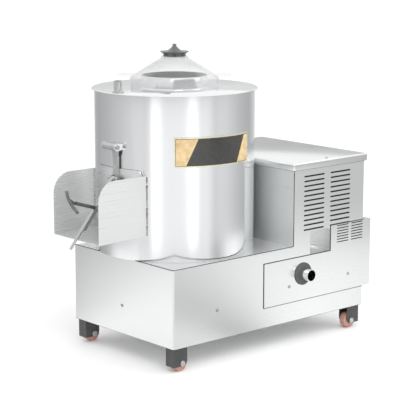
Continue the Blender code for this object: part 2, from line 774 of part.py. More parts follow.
def add_cable_gland(root, plastic):
    place = (BASE_LENGTH - GLAND_FROM_RIGHT, BASE_DEPTH + GAP, UNDERSIDE + GLAND_ABOVE_BASE)
    hexagon = arc((0, 0), GLAND_RADIUS, 0, 360, 6)[:-1]
    gland = object_from(prism(hexagon, 0, GLAND_HEX), "cable_gland", plastic, root, place)
    neck = GLAND_RADIUS * math.cos(math.radians(30))
    dome = [
        (neck, GLAND_HEX / 2),
        (neck, GLAND_HEX + GLAND_DOME / 2),
        (GLAND_BORE + GAP, GLAND_HEX + GLAND_DOME),
        (0, GLAND_HEX + GLAND_DOME),
        (0, GLAND_HEX / 2),
    ]
    join(gland, turned(dome, TINY_SIDES, "Y"), "dome", place)
    inside = -SHEET - GAP - GLAND_THREAD
    join(gland, rod(GLAND_THREAD_RADIUS, inside, GLAND_HEX / 2, TINY_SIDES, "Y"), "thread", place)
    reach = GLAND_HEX + GLAND_DOME + GLAND_THREAD + OVERRUN
    cut(gland, rod(GLAND_BORE, -reach, reach, TINY_SIDES, "Y"), "bore", place)


def turned_along_y(profile, sides=32):
    """A solid of revolution about Y, its profile's heights growing towards +Y."""
    return turned([(radius, -height) for radius, height in profile], sides, "Y")


# Casters


def caster_places():
    """Name, the web's outer X, the inward direction and the front Y of each caster."""
    left = CASTER_INSET
    right = BASE_LENGTH - CASTER_FAR_INSET
    front = CASTER_INSET
    back = BASE_DEPTH - CASTER_FAR_INSET - BRACKET_WIDTH
    return [
        ("front_left", left, 1, front),
        ("back_left", left, 1, back),
        ("front_right", right, -1, front),
        ("back_right", right, -1, back),
    ]


def bracket_outline(drop):
    """The side of a caster bracket: X inwards from the web, Z down from the top, its lower corner round."""
    radius = BRACKET_CORNER_RADIUS
    corner = arc((BRACKET_LENGTH - radius, -drop + radius), radius, -90, 0, 3)
    return [(0, 0), (0, -drop)] + corner + [(BRACKET_LENGTH, 0)]


def add_casters(root, painted, zinc, tyre):
    top = UNDERSIDE - GAP
    drop = top - BRACKET_ABOVE_FLOOR
    for name, web, inward, front in caster_places():
        outline = [(web + inward * u, top + v) for u, v in bracket_outline(drop)]
        block = prism(outline, front, front + BRACKET_WIDTH)
        bracket = object_from(block, f"caster_bracket_{name}", painted, root)
        inner_web = web + inward * BRACKET_WALL
        end = web + inward * (BRACKET_LENGTH + OVERRUN)
        low = (min(inner_web, end), front + BRACKET_WALL, -OVERRUN)
        high = (max(inner_web, end), front + BRACKET_WIDTH - BRACKET_WALL, top - BRACKET_TOP)
        cut(bracket, box(low, high), "channel")
        axle_x = web + inward * AXLE_FROM_WEB
        middle = front + BRACKET_WIDTH / 2
        bore = AXLE_RADIUS + RUNNING
        length = BRACKET_WIDTH / 2 + OVERRUN
        place = (axle_x, middle, WHEEL_RADIUS)
        cut(bracket, rod(bore, -length, length, TINY_SIDES, "Y"), "bore", place)
        add_caster_bolt(root, name, zinc, place)
        add_caster_wheel(root, name, tyre, place)


def add_caster_bolt(root, name, zinc, place):
    face = BRACKET_WIDTH / 2 + GAP
    profile = [
        (0, -face - AXLE_HEAD),
        (AXLE_HEAD_RADIUS * 0.8, -face - AXLE_HEAD),
        (AXLE_HEAD_RADIUS, -face - AXLE_HEAD / 2),
        (AXLE_HEAD_RADIUS, -face),
        (AXLE_RADIUS, -face),
        (AXLE_RADIUS, face),
        (AXLE_NUT_RADIUS, face),
        (AXLE_NUT_RADIUS, face + AXLE_HEAD),
        (0, face + AXLE_HEAD),
    ]
    object_from(turned(profile, TINY_SIDES, "Y"), f"caster_bolt_{name}", zinc, root, place)


def add_caster_wheel(root, name, tyre, place):
    bore = AXLE_RADIUS + RUNNING
    half = WHEEL_WIDTH / 2
    crown = WHEEL_RADIUS - WHEEL_DISH
    profile = [
        (bore, -half - WHEEL_DISH),
        (WHEEL_HUB_RADIUS, -half - WHEEL_DISH),
        (crown, -half),
        (WHEEL_RADIUS, -half + WHEEL_DISH),
        (WHEEL_RADIUS, half - WHEEL_DISH),
        (crown, half),
        (WHEEL_HUB_RADIUS, half + WHEEL_DISH),
        (bore, half + WHEEL_DISH),
    ]
    axle = make_empty(f"axle_{name}", place, root)
    object_from(turned(profile, SMALL_SIDES, "Y"), f"caster_wheel_{name}", tyre, axle)


# Drum, its plate and the feed


def opening_outline(grow=0.0):
    """The discharge opening in YZ about the drum's axis, grown by a margin."""
    half = DOOR_OPENING_WIDTH / 2 + grow
    low = (CHUTE_SIDE - half, OPENING_BOTTOM - grow)
    high = (CHUTE_SIDE + half, OPENING_BOTTOM + DOOR_OPENING_HEIGHT + grow)
    return rounded_box(low, high, DOOR_OPENING_RADIUS + grow)


def add_drum(drum, steel, abrasive):
    bottom = DECK_TOP + GAP
    top = DRUM_TOP - GAP
    profile = tube_profile(DRUM_RADIUS, DRUM_RADIUS - DRUM_WALL, bottom, top)
    shell = object_from(turned(profile, DRUM_SIDES), "drum_shell", steel, drum)
    cut(shell, prism(opening_outline(), -DRUM_RADIUS - OVERRUN, 0, "X"), "door_opening")
    outer = DRUM_RADIUS - DRUM_WALL - GAP
    profile = tube_profile(outer, outer - LINER_THICKNESS, PAN_RIM_TOP + GAP, top)
    liner = object_from(turned(profile, DRUM_SIDES), "drum_liner", abrasive, drum)
    cut(liner, prism(opening_outline(), -DRUM_RADIUS - OVERRUN, 0, "X"), "door_opening")


def add_top_plate(drum, steel):
    """The plate, with the edge of its feed hole drawn up into a collar that ends in a bead."""
    edge = TOP_PLATE_THICKNESS / 2
    outer = DRUM_RADIUS + TOP_PLATE_OVERHANG
    inner = COLLAR_RADIUS - COLLAR_WALL
    bead = COLLAR_WALL
    top = PLATE_TOP + COLLAR_HEIGHT
    profile = [
        (inner, DRUM_TOP),
        (outer, DRUM_TOP),
        (outer, DRUM_TOP + edge),
        (outer - edge, PLATE_TOP),
        (COLLAR_RADIUS + COLLAR_FOOT, PLATE_TOP),
        (COLLAR_RADIUS, PLATE_TOP + COLLAR_FOOT),
        (COLLAR_RADIUS, top - 2 * bead),
        (COLLAR_RADIUS + bead, top - bead),
        (COLLAR_RADIUS, top),
        (inner, top),
    ]
    plate = object_from(turned(profile, DRUM_SIDES), "top_plate", steel, drum)
    bore = INLET_RADIUS - INLET_WALL
    cut(plate, rod(bore, DRUM_TOP - OVERRUN, PLATE_TOP + OVERRUN), "inlet_hole", (-INLET_RING, 0, 0))


def add_water_inlet(drum, chrome):
    bottom = PLATE_TOP + GAP
    top = bottom + INLET_HEIGHT
    bore = INLET_RADIUS - INLET_WALL
    profile = [
        (bore, bottom),
        (INLET_RADIUS + INLET_FOOT, bottom),
        (INLET_RADIUS + INLET_FOOT, bottom + INLET_WALL),
        (INLET_RADIUS, bottom + INLET_WALL),
        (INLET_RADIUS, top),
        (bore, top),
    ]
    object_from(turned(profile, SMALL_SIDES), "water_inlet", chrome, drum, (-INLET_RING, 0, 0))


# Lid


def ear(direction):
    """One of the lid's two lifting ears: a flat tab with a round end, out of the cone's foot."""
    top = LID_SKIRT + EAR_RISE
    bottom = top - EAR_THICKNESS
    slope = (LID_RADIUS - LID_NECK_RADIUS) / LID_CONE_RISE
    half = EAR_WIDTH / 2
    reach = LID_RADIUS + EAR_LENGTH
    low_inner = LID_RADIUS - (bottom - LID_SKIRT) * slope - LID_WALL
    high_inner = LID_RADIUS - (top - LID_SKIRT) * slope - LID_WALL
    outline = [
        (low_inner, bottom),
        (reach, bottom),
        (reach, top - EAR_THICKNESS / 3),
        (reach - EAR_THICKNESS / 3, top),
        (high_inner, top),
    ]
    tab = prism([(direction * u, v) for u, v in outline], -half, half)
    tips = [edge for edge in tab.edges if min(direction * v.co.x for v in edge.verts) > reach - EAR_THICKNESS]
    tips = [edge for edge in tips if abs(edge.verts[0].co.y - edge.verts[1].co.y) < half]
    bmesh.ops.bevel(tab, geom=tips, offset=EAR_ROUND, segments=2, profile=0.5, affect="EDGES")
    return tab


def add_lid(lid, clear, plastic):
    cone_base = LID_SKIRT
    cone_top = LID_SKIRT + LID_CONE_RISE
    top = cone_top + LID_NECK_RISE
    inner = LID_RADIUS - LID_WALL
    profile = [
        (LID_RADIUS, 0),
        (LID_RADIUS, cone_base - LID_WALL),
        (LID_RADIUS - LID_WALL / 2, cone_base),
        (LID_NECK_RADIUS, cone_top),
        (LID_NECK_RADIUS, top),
        (0, top),
        (0, top - LID_WALL),
        (LID_NECK_RADIUS - LID_WALL, top - LID_WALL),
        (inner, cone_base - LID_WALL),
        (inner, 0),
    ]
    shell = object_from(turned(profile, DRUM_SIDES), "lid_shell", clear, lid)
    for side, direction in (("right_ear", 1), ("left_ear", -1)):
        join(shell, ear(direction), side)
    add_knob(lid, plastic, top + GAP)


def add_knob(lid, plastic, bottom):
    neck_top = bottom + KNOB_NECK_HEIGHT
    brim = neck_top + KNOB_BRIM_RISE
    cone_top = brim + KNOB_CONE_HEIGHT
    lip = GAP * 5
    profile = [
        (0, bottom),
        (KNOB_NECK_RADIUS, bottom),
        (KNOB_NECK_RADIUS, neck_top),
        (KNOB_BRIM_RADIUS, brim - lip),
        (KNOB_BRIM_RADIUS, brim),
        (KNOB_CONE_RADIUS, neck_top + KNOB_BRIM_RISE * 0.7),
        (KNOB_NUB_RADIUS * 1.4, cone_top),
        (KNOB_NUB_RADIUS, cone_top + KNOB_NUB_HEIGHT * 0.2),
        (KNOB_NUB_RADIUS, brim + KNOB_NUB_HEIGHT + KNOB_CONE_HEIGHT * 0.6),
        (KNOB_NUB_RADIUS * 0.8, brim + KNOB_NUB_HEIGHT + KNOB_CONE_HEIGHT * 0.7),
        (0, brim + KNOB_NUB_HEIGHT + KNOB_CONE_HEIGHT * 0.7),
    ]
    knob = object_from(turned(profile), "lid_knob", plastic, lid)
    flutes = []
    for number in range(KNOB_FLUTES):
        angle = 2 * math.pi * number / KNOB_FLUTES
        groove = rod(KNOB_FLUTE_RADIUS, bottom - OVERRUN, neck_top, 8)
        shift = (KNOB_NECK_RADIUS * math.cos(angle), KNOB_NECK_RADIUS * math.sin(angle), 0)
        bmesh.ops.translate(groove, verts=groove.verts, vec=shift)
        flutes.append(groove)
    cut(knob, merged(flutes), "flutes")


# Discharge chute and door


def add_chute(root, steel):
    lip = DRUM_FACE - CHUTE_REACH
    low_lip = CHUTE_FLOOR - CHUTE_FLOOR_FALL
    top = CHUTE_FLOOR + CHUTE_HEIGHT
    inside = DRUM_X
    slope = CHUTE_FLOOR_FALL / CHUTE_REACH
    rise = slope * (inside - DRUM_FACE)
    radius = CHUTE_CORNER_RADIUS
    side = [(inside, CHUTE_FLOOR - CHUTE_SHEET + rise), (inside, top)]
    side += arc((lip + radius, top - radius), radius, 90, 180, 8)
    side += [(lip, low_lip - CHUTE_SHEET)]
    half = CHUTE_WIDTH / 2
    chute = object_from(prism(side, CHUTE_Y - half, CHUTE_Y + half), "discharge_chute", steel, root)
    channel = [
        (lip - OVERRUN, low_lip - slope * OVERRUN),
        (inside + OVERRUN, CHUTE_FLOOR + rise + slope * OVERRUN),
        (inside + OVERRUN, top + OVERRUN),
        (lip - OVERRUN, top + OVERRUN),
    ]
    inner = half - CHUTE_SHEET
    cut(chute, prism(channel, CHUTE_Y - inner, CHUTE_Y + inner), "channel")
    reach = DRUM_RADIUS + GAP
    cut(chute, rod(reach, DECK_TOP, DRUM_TOP, DRUM_SIDES), "drum", (DRUM_X, DRUM_Y, 0))


def curved_panel(inner, thickness, outline, name, material, parent, place):
    """A sheet that hugs the drum, with this outline as seen along X."""
    bottom = min(v for _, v in outline) - OVERRUN
    top = max(v for _, v in outline) + OVERRUN
    ring = turned(tube_profile(inner + thickness, inner, bottom, top), DRUM_SIDES)
    panel = object_from(ring, name, material, parent, place)
    window = helper(prism(outline, -inner - thickness - OVERRUN, 0, "X"), f"{name}.outline", parent, place)
    add_modifier(panel, window, "INTERSECT")
    return panel


def door_outline():
    half = DOOR_OPENING_WIDTH / 2 + DOOR_LAP
    low = (CHUTE_SIDE - half, OPENING_BOTTOM - DOOR_BOTTOM_LAP)
    high = (CHUTE_SIDE + half, OPENING_BOTTOM + DOOR_OPENING_HEIGHT + DOOR_TOP_LAP)
    return rounded_box(low, high, DOOR_CORNER_RADIUS)


def add_door(door, root, steel, rubber, zinc, cast):
    """The door hangs on the hinge pin: its parent is the hinge axis, in the strap's middle plane."""
    to_drum = (DRUM_X - HINGE_X, DRUM_Y - STRAP_Y, -HINGE_Z)
    curved_panel(DOOR_INNER, DOOR_THICKNESS, door_outline(), "door_plate", steel, door, to_drum)
    seal = curved_panel(SEAL_INNER, SEAL_THICKNESS, door_outline(), "door_seal", rubber, door, to_drum)
    opening = opening_outline(SEAL_MARGIN / 2)
    cut(seal, prism(opening, -DRUM_RADIUS - OVERRUN, 0, "X"), "opening", to_drum)
    add_door_strap(door, cast)
    add_hinge_bracket(root, steel)
    half = KNUCKLE_LENGTH / 2 + HINGE_CLEARANCE + HINGE_EAR + GAP
    head = HINGE_PIN_RADIUS
    profile = [
        (0, -half - head),
        (HINGE_PIN_RADIUS * 1.7, -half - head),
        (HINGE_PIN_RADIUS * 1.7, -half),
        (HINGE_PIN_RADIUS, -half),
        (HINGE_PIN_RADIUS, half + head),
        (0, half + head),
    ]
    object_from(turned(profile, TINY_SIDES, "Y"), "hinge_pin", zinc, root, (HINGE_X, CHUTE_Y, HINGE_Z))


def strap_outline(right):
    """The strap's face, from the points of its right edge."""
    return right + [(-u, v) for u, v in reversed(right)]


def add_door_strap(door, cast):
    """A strap from the hinge's barrel down the door, forked where the clamp bar's eye sits."""
    inner = STRAP_INNER_X - HINGE_X
    outer = STRAP_OUTER_X - HINGE_X
    waist = -KNUCKLE_RADIUS * 2.5
    foot = -PIVOT_BELOW_HINGE
    half_length = KNUCKLE_LENGTH / 2
    start = STRAP_FORWARD - half_length
    knuckle = rod(KNUCKLE_RADIUS, start, start + KNUCKLE_LENGTH, SMALL_SIDES, "Y")
    strap = object_from(knuckle, "door_strap", cast, door)
    fork = FORK_HALF + LUG_THICKNESS
    right = [
        (STRAP_WAIST_WIDTH / 2, waist),
        (STRAP_WAIST_WIDTH / 2, foot + LUG_RADIUS * 2),
        (fork, foot + LUG_RADIUS),
        (fork, foot - LUG_RADIUS),
        (STRAP_WAIST_WIDTH / 2, foot - LUG_RADIUS * 2),
        (STRAP_WAIST_WIDTH / 2, -STRAP_LENGTH),
    ]
    upper = [(STRAP_TOP_WIDTH / 2, 0), (STRAP_TOP_WIDTH / 2, -KNUCKLE_RADIUS)]
    join(strap, prism(strap_outline(upper + right), outer, inner, "X"), "strap")
    join(strap, prism(strap_outline(right), outer, inner + STRAP_SHOE, "X"), "shoe")
    reach = DOOR_INNER + DOOR_THICKNESS + GAP
    to_drum = (DRUM_X - HINGE_X, DRUM_Y - STRAP_Y, 0)
    cut(strap, rod(reach, -STRAP_LENGTH - OVERRUN, waist, DRUM_SIDES), "door_face", to_drum)
    pivot_x = PIVOT_X - HINGE_X
    lug = arc((pivot_x, foot), LUG_RADIUS, 90, 270, 6)
    inside = inner - STRAP_THICKNESS / 2
    lug += [(inside, foot - LUG_RADIUS), (inside, foot + LUG_RADIUS)]
    for side, start in (("far_lug", FORK_HALF), ("near_lug", -FORK_HALF - LUG_THICKNESS)):
        join(strap, prism(lug, start, start + LUG_THICKNESS), side)
    slot_low = (outer - OVERRUN, -FORK_HALF, foot - PIVOT_SLOT_BELOW)
    slot_high = (inner + OVERRUN, FORK_HALF, foot + PIVOT_SLOT_ABOVE)
    cut(strap, box(slot_low, slot_high), "fork")
    bore = HINGE_PIN_RADIUS + RUNNING
    length = KNUCKLE_LENGTH + OVERRUN
    pin_bore = rod(bore, -length, length, TINY_SIDES, "Y")
    bolt = PIVOT_BOLT_RADIUS + GAP
    bolt_bore = rod(bolt, -length, length, TINY_SIDES, "Y")
    bmesh.ops.translate(bolt_bore, verts=bolt_bore.verts, vec=(pivot_x, 0, foot))
    cut(strap, merged([pin_bore, bolt_bore]), "bores")


def add_hinge_bracket(root, steel):
    """Two ears on a plate that hugs the drum."""
    inner = KNUCKLE_LENGTH / 2 + HINGE_CLEARANCE
    outer = inner + HINGE_EAR
    place = (HINGE_X, CHUTE_Y, HINGE_Z)
    half = HINGE_PLATE_HEIGHT / 2
    edge = HINGE_STANDOFF - HINGE_PLATE
    side = arc((0, 0), HINGE_EAR_RADIUS, 90, 270, 6)
    side += [(edge, -half), (HINGE_STANDOFF + outer, -half), (HINGE_STANDOFF + outer, half), (edge, half)]
    bracket = object_from(prism(side, -outer, outer), "hinge_bracket", steel, root, place)
    room = HINGE_EAR_RADIUS + OVERRUN
    cut(bracket, box((-room, -inner, -room), (edge, inner, room)), "knuckle_room", place)
    reach = DRUM_RADIUS + GAP
    cut(bracket, rod(reach, DECK_TOP, DRUM_TOP, DRUM_SIDES), "drum", (DRUM_X, DRUM_Y, 0))
    bore = HINGE_PIN_RADIUS + GAP
    length = outer + OVERRUN
    cut(bracket, rod(bore, -length, length, TINY_SIDES, "Y"), "bore", place)


def add_pivot_bolt(door, zinc):
    half = FORK_HALF + LUG_THICKNESS + GAP
    profile = [
        (0, -half - PIVOT_CAP),
        (PIVOT_HEAD_RADIUS * 0.85, -half - PIVOT_CAP),
        (PIVOT_HEAD_RADIUS, -half - PIVOT_CAP * 0.7),
        (PIVOT_HEAD_RADIUS, -half),
        (PIVOT_BOLT_RADIUS, -half),
        (PIVOT_BOLT_RADIUS, half),
        (PIVOT_HEAD_RADIUS, half),
        (PIVOT_HEAD_RADIUS, half + PIVOT_HEAD),
        (0, half + PIVOT_HEAD),
    ]
    place = (PIVOT_X - HINGE_X, 0, PIVOT_Z - HINGE_Z)
    object_from(turned(profile, TINY_SIDES, "Y"), "clamp_pivot_bolt", zinc, door, place)


# Clamp bar and screw


def bar_point(along):
    """A place on the bar's line, from its pivot, in the pivot's frame."""
    angle = math.radians(BAR_ANGLE)
    return Vector((-along * math.cos(angle), 0, -along * math.sin(angle)))


def add_clamp_bar(bar, steel):
    """Built along -Z from the pivot, then swung out to its resting angle."""
    swing = math.radians(90 - BAR_ANGLE)
    half = BAR_WIDTH / 2
    back = -BAR_EYE_RADIUS
    front = back + BAR_DEPTH
    channel = arc((0, 0), BAR_EYE_RADIUS, 0, 180, 6)
    channel += [(back, -BAR_CHANNEL_LENGTH), (front, -BAR_CHANNEL_LENGTH + BAR_DEPTH)]
    channel.append((front, -BAR_EYE_RADIUS))
    piece = object_from(prism(channel, -half, half), "clamp_bar", steel, bar, rotation=(0, swing, 0))
    low = (back + BAR_WALL, -half + BAR_WALL, -BAR_CHANNEL_LENGTH - OVERRUN)
    high = (front + OVERRUN, half - BAR_WALL, -BAR_EYE_RADIUS * 1.5)
    cut(piece, box(low, high), "channel", rotation=(0, swing, 0))
    low = (back, -TAIL_WIDTH / 2 + GAP, -BAR_LENGTH)
    high = (back + TAIL_THICKNESS, TAIL_WIDTH / 2 - GAP, -BAR_CHANNEL_LENGTH + BAR_DEPTH * 2)
    tail = box(low, high)
    ends = [edge for edge in tail.edges if all(v.co.z < -BAR_CHANNEL_LENGTH for v in edge.verts)]
    ends = [edge for edge in ends if abs(edge.verts[0].co.x - edge.verts[1].co.x) > TAIL_THICKNESS / 2]
    bmesh.ops.bevel(tail, geom=ends, offset=TAIL_WIDTH / 4, segments=2, profile=0.5, affect="EDGES")
    join(piece, tail, "tail", rotation=(0, swing, 0))
    along = bar_point(SCREW_ALONG_BAR)
    tilt = (0, math.radians(SCREW_ANGLE - 90), 0)
    middle = BOSS_LENGTH / 2
    join(piece, rod(BOSS_RADIUS, -middle, middle), "boss", along, tilt)
    bore = SPINDLE_RADIUS + RUNNING
    length = BOSS_LENGTH + OVERRUN
    cut(piece, rod(bore, -length, length, TINY_SIDES), "thread", along, tilt)
    eye = PIVOT_BOLT_RADIUS + RUNNING
    cut(piece, rod(eye, -OVERRUN, OVERRUN, TINY_SIDES, "Y"), "eye")


def screw_reach():
    """How far the strap's face lies from the bar, along the screw."""
    crossing = PIVOT_X + bar_point(SCREW_ALONG_BAR).x
    return (STRAP_OUTER_X - GAP - crossing) / math.cos(math.radians(SCREW_ANGLE))


def add_clamp_pad(pad, zinc):
    """The pad stands upright against the strap, whatever the screw's angle."""
    profile = [
        (0, 0),
        (PAD_RADIUS, 0),
        (PAD_RADIUS, PAD_THICKNESS / 2),
        (PAD_SOCKET_RADIUS, PAD_THICKNESS),
        (PAD_SOCKET_RADIUS, PAD_THICKNESS + PAD_SOCKET_LENGTH),
        (0, PAD_THICKNESS + PAD_SOCKET_LENGTH),
    ]
    upright = (0, math.radians(-90), 0)
    piece = object_from(turned(profile, SMALL_SIDES), "clamp_pad", zinc, pad, rotation=upright)
    tilt = (0, math.radians(SCREW_ANGLE - 90), 0)
    socket = SPINDLE_RADIUS + RUNNING
    start = PAD_THICKNESS
    length = PAD_THICKNESS + PAD_SOCKET_LENGTH + OVERRUN
    cut(piece, rod(socket, start, length, TINY_SIDES), "socket", rotation=tilt)


def add_clamp_screw(screw, zinc, dark):
    """Built along +Z outwards from the pad: the spindle, and the grip at its end."""
    start = PAD_THICKNESS + GAP
    crossing = screw_reach()
    shank = crossing + BOSS_LENGTH * 1.4
    end = crossing + SPINDLE_OUTER_LENGTH
    profile = [
        (0, start),
        (SPINDLE_RADIUS, start),
        (SPINDLE_RADIUS, shank),
        (SHANK_RADIUS, shank),
        (SHANK_RADIUS, end),
        (0, end),
    ]
    object_from(turned(profile, SMALL_SIDES), "clamp_spindle", dark, screw)
    bow_mid = end + GRIP_NECK_LENGTH + GRIP_WEB_LENGTH
    knots = []
    for share in (-1, -0.5, 0, 0.5, 1):
        knots.append(Vector((0, share * GRIP_SPAN / 2, bow_mid - GRIP_BOW * share * share)))
    bow = swept_bar(smooth_path(knots, 2), GRIP_RADIUS, TINY_SIDES)
    grip = object_from(bow, "t_grip", zinc, screw, rotation=grip_turn())
    web = [
        (-GRIP_NECK_RADIUS, end + GRIP_NECK_LENGTH / 2),
        (GRIP_NECK_RADIUS, end + GRIP_NECK_LENGTH / 2),
        (GRIP_WEB_SPAN / 2, bow_mid - GRIP_RADIUS / 2),
        (-GRIP_WEB_SPAN / 2, bow_mid - GRIP_RADIUS / 2),
    ]
    half = GRIP_WEB_THICKNESS / 2
    join(grip, prism(web, -half, half, "X"), "web", rotation=grip_turn())
    join(grip, rod(GRIP_NECK_RADIUS, end + GAP, bow_mid, TINY_SIDES), "neck", rotation=grip_turn())


def grip_turn():
    return (0, 0, math.radians(GRIP_TILT))


# Drain


def stub_place():
    angle = math.radians(STUB_ANGLE)
    ring = STUB_RING_SHARE * (DRUM_RADIUS - DRUM_WALL)
    return DRUM_X + ring * math.cos(angle), DRUM_Y + ring * math.sin(angle)


def add_drain_pan(drum, steel):
    outer = DRUM_RADIUS - DRUM_WALL - GAP
    hub = HOUSING_RADIUS + RUNNING
    bottom = DECK_TOP + GAP
    profile = [
        (outer, bottom),
        (outer, PAN_RIM_TOP),
        (outer - PAN_WALL, PAN_RIM_TOP),
        (outer - PAN_WALL, bottom + PAN_WALL),
        (hub + PAN_WALL, bottom + PAN_WALL + PAN_RISE),
        (hub + PAN_WALL, PAN_RIM_TOP),
        (hub, PAN_RIM_TOP),
        (hub, bottom + PAN_RISE),
    ]
    pan = object_from(turned(profile, DRUM_SIDES // 2), "drain_pan", steel, drum)
    x, y = stub_place()
    place = (x - DRUM_X, y - DRUM_Y, 0)
    stub_bottom = DECK_TOP - STUB_DROP
    stub_top = bottom + PAN_WALL
    join(pan, rod(PIPE_RADIUS, stub_bottom, stub_top), "stub", place)
    bore = PIPE_RADIUS - PIPE_WALL
    top = PAN_RIM_TOP + OVERRUN
    cut(pan, rod(bore, stub_bottom - OVERRUN, top), "bore", place)


def add_drain_hose(root, rubber):
    x, y = stub_place()
    inner = PIPE_RADIUS / math.cos(math.pi / TINY_SIDES) + GAP
    outer = inner + HOSE_WALL
    top = DECK_TOP - STUB_DROP + HOSE_LAP
    start = PIPE_INSIDE - HOSE_LAP
    bend = [
        Vector((x, y, top - HOSE_LAP)),
        Vector((x + outer / 2, y, OUTLET_Z + outer)),
        Vector(((x + OUTLET_X) / 2, (y + PIPE_INSIDE) / 2 + outer, OUTLET_Z)),
        Vector((OUTLET_X, PIPE_INSIDE + outer, OUTLET_Z)),
        Vector((OUTLET_X, PIPE_INSIDE, OUTLET_Z)),
    ]
    path = [Vector((x, y, top))] + smooth_path(bend, 3) + [Vector((OUTLET_X, start, OUTLET_Z))]
    hose = swept_tube(path, outer, inner, TINY_SIDES)
    object_from(hose, "drain_hose", rubber, root)


def add_outlet(root, steel, rubber):
    place = (OUTLET_X, 0, OUTLET_Z)
    face = PANEL_FRONT - GAP
    pipe = tube_profile(PIPE_RADIUS, PIPE_RADIUS - PIPE_WALL, face - PIPE_REACH, PIPE_INSIDE)
    object_from(turned(pipe, MEDIUM_SIDES, "Y"), "waste_pipe", steel, root, place)
    ring = PIPE_RADIUS + RUNNING
    slope = FLANGE_THICKNESS / 2
    profile = [
        (ring, face),
        (FLANGE_RADIUS, face),
        (FLANGE_RADIUS, face - slope),
        (FLANGE_RADIUS - slope, face - FLANGE_THICKNESS),
        (ring, face - FLANGE_THICKNESS),
    ]
    object_from(turned(profile, MEDIUM_SIDES, "Y"), "waste_flange", rubber, root, place)


# Drive


def add_support_beam(root, steel):
    """A hat section under the deck that carries the bearing housing, from the front wall to the back wall."""
    top = DECK_TOP - SHEET - GAP
    half = BEAM_LENGTH / 2
    inner = half - BEAM_SHEET
    outline = [
        (DRUM_X - half, top - BEAM_HEIGHT),
        (DRUM_X - inner, top - BEAM_HEIGHT),
        (DRUM_X - inner, top - BEAM_SHEET),
        (DRUM_X + inner, top - BEAM_SHEET),
        (DRUM_X + inner, top - BEAM_HEIGHT),
        (DRUM_X + half, top - BEAM_HEIGHT),
        (DRUM_X + half, top),
        (DRUM_X - half, top),
    ]
    inset = SHEET + GAP
    beam = object_from(prism(outline, inset, BASE_DEPTH - inset), "support_beam", steel, root)
    hole = HOUSING_RADIUS + RUNNING
    cut(beam, rod(hole, top - OVERRUN, top + OVERRUN, MEDIUM_SIDES), "hole", (DRUM_X, DRUM_Y, 0))


def add_bearing_housing(drum, cast, steel, rubber):
    top = PAN_RIM_TOP - SEAL_HEIGHT
    bottom = DECK_TOP - HOUSING_DROP
    flange_top = DECK_TOP - SHEET - GAP - BEAM_SHEET - GAP
    seat = BEARING_RADIUS + GAP
    waist = BEARING_RADIUS * HOUSING_BORE_SHARE
    profile = [
        (seat, bottom),
        (HOUSING_RADIUS, bottom),
        (HOUSING_RADIUS, flange_top - HOUSING_FLANGE),
        (HOUSING_FLANGE_RADIUS, flange_top - HOUSING_FLANGE),
        (HOUSING_FLANGE_RADIUS, flange_top),
        (HOUSING_RADIUS, flange_top),
        (HOUSING_RADIUS, top),
        (seat, top),
        (seat, top - BEARING_WIDTH),
        (waist, top - BEARING_WIDTH),
        (waist, bottom + BEARING_WIDTH),
        (seat, bottom + BEARING_WIDTH),
    ]
    object_from(turned(profile, SMALL_SIDES), "bearing_housing", cast, drum)
    inner = SHAFT_RADIUS + RUNNING
    for name, start in (("bearing_lower", bottom + GAP), ("bearing_upper", top - BEARING_WIDTH + GAP)):
        profile = tube_profile(BEARING_RADIUS, inner, start, start + BEARING_WIDTH - 2 * GAP)
        object_from(turned(profile, SMALL_SIDES), name, steel, drum)
    start = top + GAP
    end = PAN_RIM_TOP
    profile = tube_profile(HOUSING_RADIUS, inner, start, end)
    object_from(turned(profile, SMALL_SIDES), "shaft_seal", rubber, drum)


def wave_height(radius, angle, outer):
    """The disc's raised waves: none at the hub, full at the rim."""
    share = max(0.0, (radius - DISC_HUB_RADIUS) / (outer - DISC_HUB_RADIUS))
    crest = (0.5 + 0.5 * math.cos(DISC_WAVES * angle)) ** 2
    return DISC_WAVE * crest * share**0.5


def disc_mesh(outer, bore):
    """A round plate whose top carries waves, as rings of points about the axis."""
    bm = bmesh.new()
    underside = DISC_UNDERSIDE
    top = DISC_UNDERSIDE + DISC_THICKNESS
    rings = []
    angles = [2 * math.pi * sector / DISC_SECTORS for sector in range(DISC_SECTORS)]
    levels = [(bore, underside, False), (outer, underside, False)]
    for step in range(DISC_RINGS + 1):
        levels.append((outer + (DISC_HUB_RADIUS - outer) * step / DISC_RINGS, top, True))
    levels.append((bore, top, False))
    for radius, height, waved in levels:
        lift = [wave_height(radius, a, outer) if waved else 0 for a in angles]
        points = [(radius * math.cos(a), radius * math.sin(a), height + up) for a, up in zip(angles, lift)]
        rings.append([bm.verts.new(point) for point in points])
    skin(bm, rings + rings[:1])
    return bm


